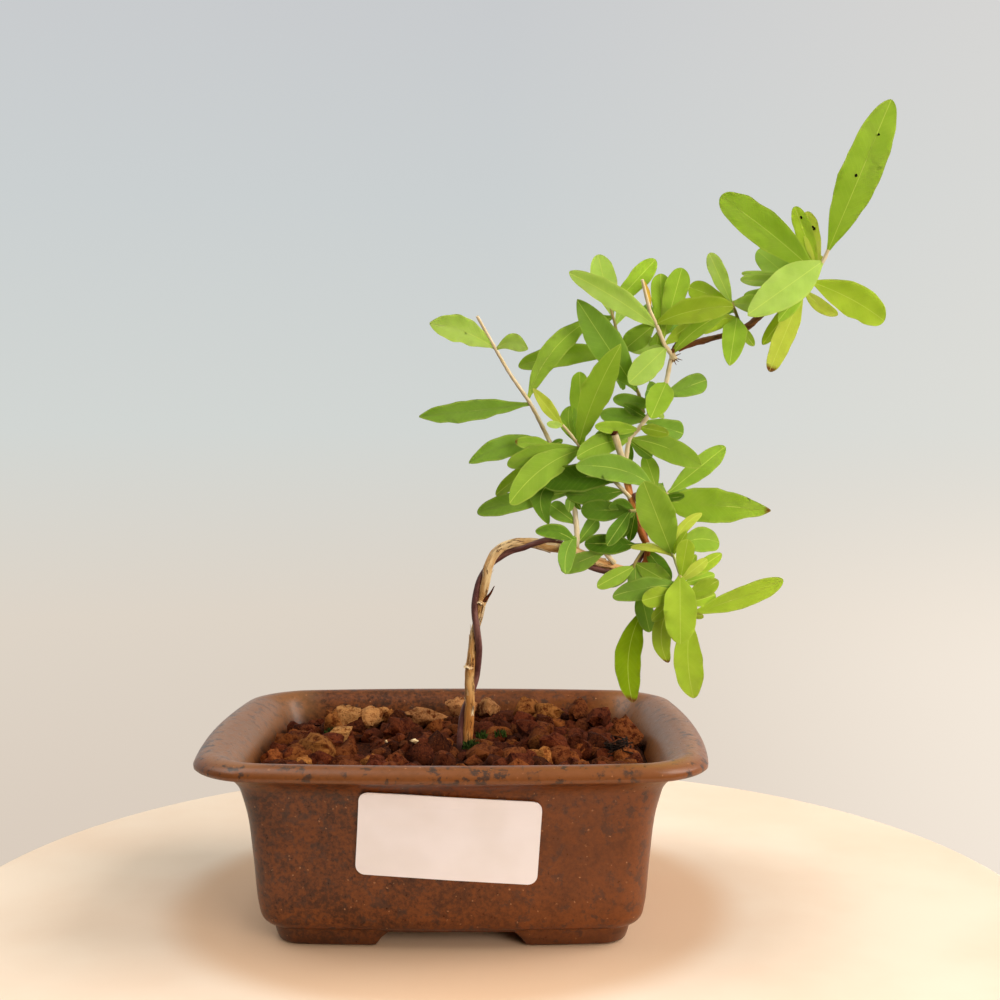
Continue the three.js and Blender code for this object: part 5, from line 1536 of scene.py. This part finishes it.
@dataclass
class Soil:
    """The soil: a lumpy bed under loose grains, with a little moss and litter on top."""

    pot: Pot
    half_length: float = 47.0
    roundness: float = 7.0
    crown: float = 39.0
    edge: float = 37.8
    base_reach: float = 36.0
    off_wall: float = 0.4
    off_floor: float = 1.6
    wall_heights: Sequence[float] = (13.0, 20.0, 30.0, 36.8)
    bed_top: Sequence[Flat] = ((30.0, 38.0), (0.0, 38.4))
    bed_around: int = 72
    bed_rows: int = 60
    loose: int = 390
    small: Flat = (3.3, 5.7)
    large: Flat = (5.7, 9.0)
    stems: Flat = (3.3, 2.6)  # where the stems leave the soil, and how wide they are there
    seed: int = 11
    common: Sequence[Earth] = (
        Earth.DARK, Earth.DARK, Earth.RED, Earth.RED, Earth.RED, Earth.BROWN, Earth.BROWN, Earth.ORANGE,
    )
    # Each cushion of moss: its middle, how far it spreads and how many shoots it has.
    cushions: Sequence[tuple[float, float, float, int]] = (
        (5.8, -7.4, 3.2, 170), (7.4, 3.6, 1.5, 40), (12.2, 5.2, 1.4, 40), (-31, 9.4, 3.0, 80),
    )
    root_tangle: Spot = (43.0, -11.0, 40.6)
    roots: int = 34
    grains: Sequence[Grain] = (
        Grain((-28.5, 18.5, 41.6), (9.5, 7, 6.5), Earth.TAN),
        Grain((-22.5, 19.5, 42.0), (8, 6, 6.2), Earth.TAN),
        Grain((-17.5, 20.5, 41.6), (4.5, 4, 4.6), Earth.OCHRE),
        Grain((-32, 14, 42), (5, 5, 5), Earth.OCHRE),
        Grain((-29, 5, 40.6), (7.5, 5, 4.5), Earth.TAN),
        Grain((-41, -2, 39.8), (7, 5, 5.5), Earth.ORANGE),
        Grain((-33, -9, 39.6), (13, 8, 6), Earth.OCHRE),
        Grain((-43, -14, 38.6), (6.5, 6, 5), Earth.ORANGE),
        Grain((-35, -19, 38.4), (6, 5, 5), Earth.OCHRE),
        Grain((-18, -20, 38.4), (7, 5, 5), Earth.OCHRE),
        Grain((-8, 21, 41.8), (9, 6, 5), Earth.TAN),
        Grain((1.5, 29, 42.6), (8, 6, 5.6), Earth.TAN),
        Grain((9, 28.5, 42.4), (9, 6, 5.4), Earth.TAN),
        Grain((19, 28, 42.4), (8, 6, 5.6), Earth.OCHRE),
        Grain((25, 26, 42.2), (7, 6, 5.4), Earth.OCHRE),
        Grain((33, 24, 42.6), (6, 6, 7), Earth.BROWN),
        Grain((-14, 6, 40.8), (10, 8, 6), Earth.RED),
        Grain((38, 18, 42.0), (7, 6, 6), Earth.RED),
        Grain((44, 6, 41.0), (8, 9, 7.5), Earth.BROWN),
        Grain((22, -18, 38.8), (8, 6, 6), Earth.OCHRE),
        Grain((21, 6, 40.4), (9, 8, 6), Earth.RED),
        Grain((12, -12, 39.4), (9, 7, 6), Earth.DARK),
        Grain((26, -8, 39.6), (9, 7, 6), Earth.RED),
        Grain((37, -6, 39.4), (8, 7, 6), Earth.DARK),
    )

    def share(self, x: float, y: float) -> float:
        """Gives how far out a point is, from 0 in the middle to 1 at the soil's edge.

        Args:
            x: Its place to the right.
            y: Its place to the back.

        Returns:
            The share.
        """
        u = abs(x - POT_ASIDE) / self.half_length
        v = abs(y) / self.half_length / self.pot.half_width
        return (u**self.roundness + v**self.roundness) ** (1 / self.roundness)

    def level(self, x: float, y: float) -> float:
        """Gives the height of the soil at a point."""
        return self.crown + (self.edge - self.crown) * self.share(x, y) ** 2

    def bed(self, work: Workpiece) -> None:
        """Adds the bed that fills the pot under the loose grains.

        Args:
            work: The mesh to add to.
        """
        low = self.pot.floor + self.off_floor
        wall = [(self.pot.inner_reach(z) - self.off_wall, z) for z in self.wall_heights]
        profile = [(0.0, low), (self.base_reach, low), *wall, *self.bed_top]
        section = Curve([Vector((r, 0, z)) for r, z in profile])

        def placed(across: float, run: float) -> Vector:
            """Puts a point of the bed, roughened on top.

            Args:
                across: The share round the plan.
                run: The share along the section.

            Returns:
                The point.
            """
            spot = section.at(run)
            point = self.pot.outline(across, max(spot.x, 0.0) if 0 < run < 1 else 0.0)
            rough = noise.noise((point + Vector((0, 0, 7.0))) * 0.35) if run > 0.6 and spot.z > 36 else 0.0
            return point + Vector((0, 0, spot.z + 0.8 * rough))

        dark = hex_to_linear(Earth.DARK.value)
        made = work.grid(self.bed_around, self.bed_rows, placed, placed, dark)
        bmesh.ops.remove_doubles(work.mesh, verts=made, dist=WELD)

    def build(self) -> None:
        """Makes the bed, the grains that catch the eye and the loose ones between them."""
        work = Workpiece("soil_grains")
        self.bed(work)
        draw = random.Random(self.seed)
        for number, grain in enumerate(self.grains):
            tone = self.shade(grain.earth, draw)
            work.lump(Vector(grain.middle), grain.sizes, tone, seed=number + 3, rounds=3)
        stems_x, stems_radius = self.stems
        laid = 0
        while laid < self.loose:
            x = POT_ASIDE + draw.uniform(-1, 1) * self.half_length
            y = draw.uniform(-1, 1) * self.half_length * self.pot.half_width
            size = draw.uniform(*(self.small if draw.random() < 0.5 else self.large))
            outer = self.share(x + math.copysign(size * 0.4, x), y + math.copysign(size * 0.4, y))
            if outer > 1.0 or math.hypot(x - stems_x, y) < stems_radius + size / 2:
                continue
            height = self.level(x, y) + draw.uniform(-1.0, 1.0)
            sizes = (size, size * draw.uniform(0.7, 0.95), size * draw.uniform(0.65, 0.9))
            tone = self.shade(draw.choice(self.common), draw)
            work.lump(Vector((x, y, height)), sizes, tone, seed=laid + 40)
            laid += 1
        work.finish(CLAY, ["soil"])
        self.moss(draw)
        self.litter(draw)

    @staticmethod
    def shade(earth: Earth, draw: random.Random) -> tuple[float, ...]:
        """Gives a grain's colour, a little lighter or darker than its kind.

        Args:
            earth: The kind.
            draw: The source of chance.

        Returns:
            The linear colour.
        """
        red, green, blue, _ = hex_to_linear(earth.value)
        light = draw.uniform(0.75, 1.25)
        return (red * light, green * light * draw.uniform(0.92, 1.05), blue * light, 1.0)

    def moss(self, draw: random.Random) -> None:
        """Makes the cushions of moss by the foot of the stems.

        Args:
            draw: The source of chance.
        """
        work = Workpiece("moss")
        for x, y, spread, count in self.cushions:
            for _ in range(count):
                angle, out = draw.uniform(0, 2 * math.pi), spread * draw.random() ** 0.6
                foot = Vector((x + out * math.cos(angle), y + 0.6 * out * math.sin(angle), 0))
                foot.z = self.level(foot.x, foot.y) + 1.0 + 0.8 * (1 - out / spread)
                lean = Vector((draw.uniform(-0.6, 0.6), draw.uniform(-0.6, 0.6), draw.uniform(0.8, 1.5)))
                shoot = Curve([foot, foot + lean * 0.6, foot + lean * 1.2])
                work.tube(shoot, taper(0.24, 0.05), sides=4, steps=2)
        work.finish(MOSS)

    def litter(self, draw: random.Random) -> None:
        """Makes the pale seed and the tangle of old roots on the soil.

        Args:
            draw: The source of chance.
        """
        seeds = Workpiece("seed")
        seeds.lump(Vector((-9.0, -9.6, 42.2)), (2.4, 1.5, 1.2), PLAIN, seed=5, rounds=3)
        seeds.lump(Vector((-16.0, -9.0, 42.0)), (0.8, 0.7, 0.6), PLAIN, seed=9)
        seeds.finish(SEED_HUSK)
        roots = Workpiece("old_roots")
        for _ in range(self.roots):
            start = Vector(self.root_tangle) + Vector([draw.uniform(-2.6, 1.6) for _ in range(3)])
            bend = [
                start + Vector((draw.uniform(-4, 1.0), draw.uniform(-3, 3), draw.uniform(0.0, 1.4)))
                for _ in range(3)
            ]
            roots.tube(Curve([start, *bend]), taper(0.22, 0.12), sides=5, steps=10)
        roots.finish(OLD_ROOTS)


# ---------------------------------------------------------------- old wood


@dataclass
class OldWood:
    """The two stems twisted round each other, the cut stub, and the dark branch."""

    pale_offset: float = 0.62
    dark_offset: float = 1.2
    pale_radii: Sequence[float] = (1.45, 1.2, 1.05, 1.1, 1.3, 1.15, 0.95, 0.85)
    dark_radii: Sequence[float] = (1.05, 0.85, 0.88, 0.8, 0.72, 0.75, 0.7, 0.6)
    ages: Sequence[str] = (
        "#94683f", "#d6ae7c", "#ecd6b0", "#f2e6cc", "#fff6e2",
        "#fff8e6", "#fff0d6", "#dc9c6a", "#d8945e", "#ecc49a",
    )
    branch_radii: Sequence[float] = (0.35, 0.7, 0.85, 0.7, 0.65, 0.8, 0.95, 0.8, 0.65, 0.7, 0.8, 0.5)
    scars: Sequence[Flat] = ((59.2, 1.32), (75.4, 1.3))  # height and radius of the swollen joints
    bristles: Sequence[Flat] = (
        (-80, 2.2), (-55, 1.6), (-105, 1.5), (-30, 2.0), (-130, 1.2), (20, 1.4),
    )  # the way and the length of the dark spurs at the crown's joint
    flakes: int = 40
    flake_thickness: float = 0.12
    walk: int = 400  # even steps along the pale stem, for its joints and flakes
    rising: int = 220  # the steps before its line turns down
    seed: int = 5

    def twisted(self, offset: float, opposite: bool) -> list[Vector]:
        """Gives the points of one stem, beside the line between the two.

        Args:
            offset: How far the stem lies from that line.
            opposite: Whether it lies across from the drawn angle.

        Returns:
            The points, from the soil up.
        """
        points = []
        for i, (x, z, depth, degrees) in enumerate(TWIST):
            before, after = TWIST[max(i - 1, 0)], TWIST[min(i + 1, len(TWIST) - 1)]
            way = Vector((after[0] - before[0], after[1] - before[1])).normalized()
            angle = math.radians(degrees) + (math.pi if opposite else 0.0)
            aside = math.cos(angle) * offset
            points.append(place(x + way.y * aside, z - way.x * aside, depth + math.sin(angle) * offset))
        return points

    def aged(self, across: float, run: float) -> Colour:
        """Gives how the bark's colour has aged along the pale stem, all round it."""
        ages = [hex_to_linear(age) for age in self.ages]
        return tuple(along([age[channel] for age in ages], run) for channel in range(4))

    @staticmethod
    def barked(radii: Sequence[float], rough: float, seed: float) -> Callable[[float, float], float]:
        """Gives a radius that swells and dips as bark does.

        Args:
            radii: The plain radii from the root to the tip.
            rough: How much the bark departs from them.
            seed: Chooses the pattern.

        Returns:
            The radius from the share along the stem and the angle round it.
        """

        def radius(run: float, angle: float) -> float:
            """Gives the radius of the bark at one point.

            Args:
                run: The share along the stem.
                angle: The angle round it.

            Returns:
                The radius.
            """
            plain = along(radii, run)
            ridge = noise.noise(Vector((math.cos(angle) * 1.6, math.sin(angle) * 1.6, run * 16 + seed)))
            lumps = noise.noise(Vector((math.cos(angle) * 0.7, math.sin(angle) * 0.7, run * 60 + seed)))
            return plain * (1 + rough * ridge + 0.6 * rough * lumps)

        return radius

    def build(self) -> None:
        """Makes both stems, the cut, the flakes of bark and the dark branch."""
        stub = [place(x, z, depth) for x, z, depth in STUB]
        pale_line = Curve([*self.twisted(self.pale_offset, True), *stub[:2]])
        pale = Workpiece("pale_stem")
        pale.tube(pale_line, self.barked(self.pale_radii, 0.2, 3.0), sides=20, steps=420, tone=self.aged)
        frames = pale_line.frames(self.walk)
        for height, size in self.scars:
            joint, _, _ = min(frames[: self.rising], key=lambda step: abs(step[0].z - height))
            pale.lump(joint, (2 * size, 2 * size, 1.5), PLAIN, seed=4, rounds=3)
        self.peel(pale, frames)
        pale.finish(PALE_BARK, ["pale_trunk"])

        dark = Workpiece("dark_stem")
        dark_line = Curve(self.twisted(self.dark_offset, False))
        dark.tube(dark_line, self.barked(self.dark_radii, 0.08, 11.0), sides=16, steps=360)
        dark.finish(DARK_BARK, ["dark_trunk"])

        pruned = Workpiece("pruned_stub")
        pruned.tube(Curve(stub), self.barked((0.95, 0.9, 0.85, 0.9), 0.1, 23.0), sides=14, steps=40)
        pruned.finish(RINDS[Skin.STRAW])
        cut = Workpiece("stub_cut")
        cut.lump(stub[-1] + Vector((-0.15, -0.1, 0.3)), (1.9, 1.9, 1.0), PLAIN, seed=2, rounds=3)
        snag = Curve([place(x, z, depth) for x, z, depth in SNAG])
        cut.tube(snag, taper(0.52, 0.1), sides=8, steps=12)
        cut.finish(CUT_WOOD)

        branch = Workpiece("dark_branch_bark")
        line = Curve([place(x, z, depth) for x, z, depth in DARK_BRANCH])
        branch.tube(line, self.barked(self.branch_radii, 0.16, 7.0), sides=14, steps=150)
        spur = Curve([place(86.6, 151.6, 10.0), place(86.1, 150.8, 9.8), place(85.5, 149.9, 9.6)])
        branch.tube(spur, taper(0.7, 0.45), sides=8, steps=6)
        self.knot(branch)
        branch.finish(BRANCH_BARK, ["dark_branch"])

    def knot(self, branch: Workpiece) -> None:
        """Adds the swollen joint where the upper shoots part, its spurs and its stub.

        Args:
            branch: The mesh that the dark spurs and the stub are added to.
        """
        joint = place(55.0, 137.0, 6.5)
        stub = Curve([place(54.9, 137.7, 6.2), place(55.6, 139.2, 6.0), place(56.4, 140.6, 5.8)])
        branch.tube(stub, self.barked((0.62, 0.6, 0.5), 0.2, 19.0), sides=10, steps=10)
        for degrees, length in self.bristles:
            angle = math.radians(degrees)
            way = Vector((math.cos(angle), -0.5, math.sin(angle))).normalized()
            start = joint + way * 0.5 + Vector((0.2, 0, -0.2))
            spur = Curve([start, start + way * (length / 2), start + way * length + Vector((0.2, 0, 0.15))])
            branch.tube(spur, taper(0.2, 0.06), sides=5, steps=4)
        swelling = Workpiece("shoot_joint")
        swelling.lump(joint, (2.2, 2.0, 2.3), PLAIN, seed=6, rounds=3)
        swelling.finish(RINDS[Skin.STRAW])

    def peel(self, work: Workpiece, frames: Sequence[tuple[Vector, Vector, Vector]]) -> None:
        """Adds narrow flakes of bark that lift from the stem at one end.

        Args:
            work: The mesh to add to.
            frames: The stem's middle line and its cross directions, step by step.
        """
        draw = random.Random(self.seed)
        for _ in range(self.flakes):
            first = draw.randint(40, 290)
            steps = draw.randint(6, 16)
            angle = draw.uniform(0, 2 * math.pi)
            half = draw.uniform(0.2, 0.42)
            lift = draw.uniform(0.15, 0.8)

            def placed(across: float, run: float) -> Vector:
                """Puts a point of a flake, which lifts towards its far end.

                Args:
                    across: The share across the flake.
                    run: The share along it.

                Returns:
                    The point.
                """
                index = first + round(run * steps)
                centre, side, up = frames[index]
                turn = angle + (across - 0.5) * 2 * half * (1 - 0.6 * run)
                out = along(self.pale_radii, index / self.walk) * 0.97 + lift * run**2
                return centre + side * (math.cos(turn) * out) + up * (math.sin(turn) * out)

            def noted(across: float, run: float) -> Vector:
                """Gives the flake's own streaked bark."""
                return Vector((across * 2, angle, run * 3 + first))

            work.blade(2, 6, placed, noted, tone=PLAIN, thickness=self.flake_thickness)


# ---------------------------------------------------------------- leafy shoots


@dataclass
class LeafyShoot:
    """One shoot: its twig, and its leaves with their rib, waves and bend."""

    DRY_TIP: ClassVar[str] = "#6e3d22"
    SPECK: ClassVar[str] = "#1d1a10"

    shoot: Shoot
    columns: int = 6
    rows: int = 24
    short_rows: int = 17
    short_leaf: float = 12.0
    thickness: float = 0.3
    petiole: float = 0.32  # half the width of a leaf's foot
    stalked_from: float = 2.0  # a leaf that is drawn this far from the twig has a stalk
    stalk_share: float = 0.16  # the share of its rows that the stalk takes
    spread: float = 1.5  # draws the rows together towards the tip, where the margin curves
    scallop: float = 3.4  # the length of a scallop
    wave: float = 0.12  # the height of the slow waves, as a share of the width
    ripple: float = 0.03  # the height of the quick ones at the margin
    fold: Flat = (0.08, 0.06)  # how both halves rise from the rib, evenly and then faster

    def nearest(self, spot: Flat) -> tuple[Spot, float]:
        """Finds where on the drawn twig a leaf grows.

        Args:
            spot: The leaf's foot in the drawing.

        Returns:
            The place on the twig, and how far it is from the foot.
        """
        found = []
        for a, b in zip(self.shoot.path, self.shoot.path[1:]):
            dx, dz = b[0] - a[0], b[1] - a[1]
            share = ((spot[0] - a[0]) * dx + (spot[1] - a[1]) * dz) / (dx * dx + dz * dz)
            share = min(max(share, 0.0), 1.0)
            near = tuple(p + (q - p) * share for p, q in zip(a, b))
            found.append((near, math.hypot(near[0] - spot[0], near[1] - spot[1])))
        return min(found, key=lambda pair: pair[1])

    @staticmethod
    def half_width(share: float, leaf: Leaf) -> float:
        """Gives half a leaf's width at a share of its length, for a half width of 1.

        Args:
            share: The share, from 0 at its foot.
            leaf: The leaf as drawn.

        Returns:
            The half width.
        """
        if share < leaf.full:
            return math.sin(math.pi / 2 * share / leaf.full) ** 0.95
        past = (share - leaf.full) / (1 - leaf.full)
        return max(1 - past ** (2.6 - 0.9 * leaf.sharp), 0.0) ** (0.48 + 0.34 * leaf.sharp)

    def leaf(self, work: Workpiece, leaf: Leaf, number: int, chance: float) -> None:
        """Adds one leaf.

        Args:
            work: The mesh to add to.
            leaf: The leaf as drawn.
            number: Its number on the shoot, which sets its waves.
            chance: A number from 0 to 1 that varies its colour.
        """
        spot, distance = self.nearest(leaf.start)
        root = place(*spot)
        stalked = distance > self.stalked_from
        base = place(leaf.start[0], leaf.start[1], spot[2]) if stalked else root
        tip = place(leaf.end[0], leaf.end[1], spot[2] + leaf.reach)
        run_way = tip - base
        length = run_way.length
        ahead = run_way.normalized()
        facing = (EYE - base).normalized()
        facing = (facing - ahead * facing.dot(ahead)).normalized()
        facing.rotate(Matrix.Rotation(math.radians(leaf.turn), 3, ahead))
        left = facing.cross(ahead)
        stalk = self.stalk_share if stalked else 0.0

        def measures(across: float, run: float) -> tuple[float, float, float, float]:
            """Gives the side, the share along the blade, its half width and the stalk's share.

            Args:
                across: The share across the blade.
                run: The share of its rows.

            Returns:
                The four numbers.
            """
            share = 1 - (1 - max((run - stalk) / (1 - stalk), 0.0)) ** self.spread
            on_stalk = 1 - min(run / stalk, 1.0) if stalk else 0.0
            side = across * 2 - 1
            half = leaf.width / 2 * self.half_width(min(share, 0.999), leaf)
            # The margin swells and dips in shallow scallops, its own way on each side.
            here = Vector((share * length / self.scallop, math.copysign(3.0, side), number * 2.7))
            half *= 1.03 + leaf.wavy * noise.noise(here)
            foot = self.petiole * (1 - eased(share, 0.7, 1.0))
            return side, share, max(half, foot, 0.02), on_stalk

        def placed(across: float, run: float) -> Vector:
            """Puts a point of the blade.

            Args:
                across: The share across the blade.
                run: The share of its rows.

            Returns:
                The point.
            """
            side, share, half, on_stalk = measures(across, run)
            hump = 4 * share * (1 - share)
            point = base.lerp(root, on_stalk) + run_way * share
            point += facing * (hump * leaf.arch * length) + left * (hump * leaf.bow - side * half)
            wave = self.wave * leaf.width * hump / 4 * math.sin(9 * share + 2.2 * number + 1.6 * side)
            ripple = self.ripple * leaf.width * math.sin(24 * share + 3.1 * number) * abs(side) ** 3 * hump
            fold = self.fold[0] * abs(side) + self.fold[1] * side * side
            return point + facing * (side * wave + ripple + fold * half * min(1.0, 6 * share))

        def noted(across: float, run: float) -> Vector:
            """Gives the place on the blade in millimetres, and how near its margin is."""
            side, share, half, _ = measures(across, run)
            return Vector((side * half, share * length, abs(side)))

        red, green, blue, _ = hex_to_linear(leaf.tone.value)
        light = 0.92 + 0.16 * chance
        plain = (red * light, green * light, blue * light, 1.0)
        brown = hex_to_linear(self.DRY_TIP)

        def toned(across: float, run: float) -> Colour:
            """Gives the blade's colour, which turns brown at a dry tip.

            Args:
                across: The share across the blade.
                run: The share of its rows.

            Returns:
                The linear colour.
            """
            _, share, _, _ = measures(across, run)
            dead = eased(share, 0.93, 0.98) if leaf.dry else 0.0
            return tuple(fresh + (old - fresh) * dead for fresh, old in zip(plain, brown))

        rows = self.rows if length > self.short_leaf else self.short_rows
        work.blade(self.columns, rows, placed, noted, toned, self.thickness)
        for order, (share, side) in enumerate(leaf.marks):
            run = 1 - (1 - share) ** (1 / self.spread)
            speck = placed((side + 1) / 2, run) + facing * 0.1
            work.lump(speck, (0.85, 0.5, 0.7), hex_to_linear(self.SPECK), seed=number + order)

    def build(self) -> None:
        """Makes the leaves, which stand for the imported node, and the twig under them."""
        shoot = self.shoot
        draw = random.Random(shoot.name)
        leaves = Workpiece(shoot.name + "_leaves")
        for number, leaf in enumerate(shoot.leaves):
            self.leaf(leaves, leaf, number, draw.random())
        leaves.finish(LEAF, [shoot.name])

        twig = Workpiece(shoot.name + "_twig")
        line = Curve([place(*spot) for spot in shoot.path])
        first, last = shoot.radii

        def radius(run: float, angle: float) -> float:
            """Gives the twig's radius, swollen a little at its joints."""
            swell = 0.12 * math.sin(run * line.length * 1.3 + angle) ** 4
            return (first + (last - first) * run) * (0.92 + swell)

        twig.tube(line, radius, sides=10, steps=max(12, round(line.length * 1.6)))
        LOG.info("%s: %d leaves", shoot.name, len(shoot.leaves))
        twig.finish(RINDS[shoot.skin])


# ---------------------------------------------------------------- floor, light, camera


@dataclass(frozen=True)
class Softbox:
    """A large soft lamp: its place and its target in metres, its size and its power."""

    name: str
    spot: Spot
    size: Flat
    power: float
    colour: str = "#ffffff"
    glossy: bool = True
    target: Spot = (0.0, 0.0, 0.08)

    def build(self) -> None:
        """Hangs the lamp and turns it to its target."""
        lamp = bpy.data.lights.new(self.name, "AREA")
        lamp.shape = "RECTANGLE"
        lamp.size, lamp.size_y = self.size
        lamp.energy = self.power
        lamp.color = hex_to_linear(self.colour)[:3]
        hung = bpy.data.objects.new(self.name, lamp)
        hung.location = self.spot
        hung.visible_glossy = self.glossy
        hung.rotation_euler = (Vector(self.target) - Vector(self.spot)).to_track_quat("-Z", "Y").to_euler()
        bpy.context.scene.collection.objects.link(hung)


@dataclass
class Studio:
    """The round table, the soft lamps and the camera in front."""

    table_radius: float = 138.0
    table_thickness: float = 8.0
    table_shift: Spot = (10.0, -2.0, -0.2)
    table_edge: float = 1.5
    focal_mm: float = 50.4
    sensor_mm: float = 36.0
    pitch_degrees: float = 2.86
    room: Sequence[tuple[float, str]] = (
        (0.0, "#dacbbc"), (0.3, "#ded4c7"), (0.5, "#d2d6d3"), (0.75, "#cbd0d1"), (1.0, "#c8cacd"),
    )
    window: str = "#fff4e6"
    ceiling: str = "#9a937f"
    dim_side: str = "#3a2f26"
    lamps: Sequence[Softbox] = (
        Softbox("key_right", (1.2, -0.1, 1.1), (1.0, 1.0), 19.0, "#fff6ee"),
        Softbox("top_left", (-0.9, 0.0, 1.5), (1.2, 1.2), 14.0, "#f8f6f4"),
        Softbox("front_fill", (0.62, -0.85, 0.36), (0.7, 0.45), 9.2, "#fff2e6", glossy=False),
    )

    def table(self) -> None:
        """Makes the round table that the pot stands on."""
        disc = bmesh.new()
        middle = ORIGIN + (Vector(self.table_shift) - Vector((0, 0, self.table_thickness / 2))) * MM
        bmesh.ops.create_cone(
            disc, cap_ends=True, segments=160, radius1=self.table_radius * MM, radius2=self.table_radius * MM,
            depth=self.table_thickness * MM, matrix=Matrix.Translation(middle),
        )
        top = max(vert.co.z for vert in disc.verts)
        rim = [edge for edge in disc.edges if all(abs(vert.co.z - top) < SHORTEST for vert in edge.verts)]
        bmesh.ops.bevel(
            disc, geom=rim, offset=self.table_edge * MM, offset_type="OFFSET", segments=3, profile=0.5,
            affect="EDGES", material=-1,
        )
        data = bpy.data.meshes.new("table")
        disc.to_mesh(data)
        disc.free()
        table = bpy.data.objects.new("table", data)
        bpy.context.scene.collection.objects.link(table)
        table.data.materials.append(TABLE.material())
        table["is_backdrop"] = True

    def surroundings(self) -> None:
        """Fills the room with pale light: cool above, warm low down, dim at the front."""
        world = bpy.data.worlds.new("room")
        world.use_nodes = True
        bpy.context.scene.world = world
        tree = world.node_tree
        tree.nodes.clear()
        way = add(tree, "SeparateXYZ", vector=add(tree, "TexCoord").outputs["Generated"]).outputs
        share = add(
            tree, "MapRange", interpolation_type="LINEAR", value=way["Z"], from_min=-0.32, from_max=0.32
        )
        wall = add(tree, "ValToRGB", fac=share, stops=self.room)
        # The right is brighter, and its lower part shines like a window.
        brighter = add(
            tree, "MapRange", interpolation_type="LINEAR", value=way["X"], from_max=0.6, to_max=0.4
        )
        wall = add(tree, "Mix", factor=brighter, a=wall, b=self.window)
        low_down = add(tree, "MapRange", value=way["Z"], from_min=0.0, from_max=-0.18, to_max=0.6)
        wall = coated(tree, wall, self.window, way["X"], 0.05, 0.4, low_down)
        sides = coated(tree, self.dim_side, wall, way["Y"], -0.3, 0.5)
        sky = coated(tree, sides, self.ceiling, way["Z"], 0.35, 0.75)
        add(tree, "OutputWorld", surface=add(tree, "Background", color=sky, strength=1.0))

    def camera(self) -> None:
        """Sets the camera at EYE, a little down from level."""
        lens = bpy.data.cameras.new("camera")
        lens.lens = self.focal_mm
        lens.sensor_width = self.sensor_mm
        lens.sensor_fit = "AUTO"
        lens.clip_start = 0.01
        camera = bpy.data.objects.new("camera", lens)
        camera.location = EYE * MM + ORIGIN
        camera.rotation_euler = (math.radians(90 - self.pitch_degrees), 0.0, 0.0)
        bpy.context.scene.collection.objects.link(camera)
        bpy.context.scene.camera = camera

    def build(self) -> None:
        """Sets up everything around the object."""
        bpy.context.scene.view_settings.view_transform = "Standard"
        self.camera()
        self.table()
        self.surroundings()
        for lamp in self.lamps:
            lamp.build()


def dress(node: str, finish: Finish) -> None:
    """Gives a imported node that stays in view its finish.

    Args:
        node: The node's name.
        finish: Its look.
    """
    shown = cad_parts[node]
    shown.data.materials.clear()
    shown.data.materials.append(finish.material())
    LOG.info("%s: dressed as packed", node)


def write_sizes() -> None:
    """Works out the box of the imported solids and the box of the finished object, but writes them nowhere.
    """
    boxes = {"cad": CAD_BOX, "visual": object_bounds()}
    plain = {name: [list(corner) for corner in box] for name, box in boxes.items()}


def main() -> None:
    """Builds the whole scene, piece by piece."""
    Studio().build()
    pot = Pot()
    pot.build()
    dress("label", PAPER)
    for side in ("left", "right"):
        dress("drain_mesh_" + side, MESH_PLASTIC)
    Soil(pot).build()
    OldWood().build()
    for shoot in SHOOTS:
        LeafyShoot(shoot).build()
    write_sizes()


if __name__ == "__main__":
    logging.basicConfig(level=logging.INFO, format="%(name)s: %(message)s")
    main()
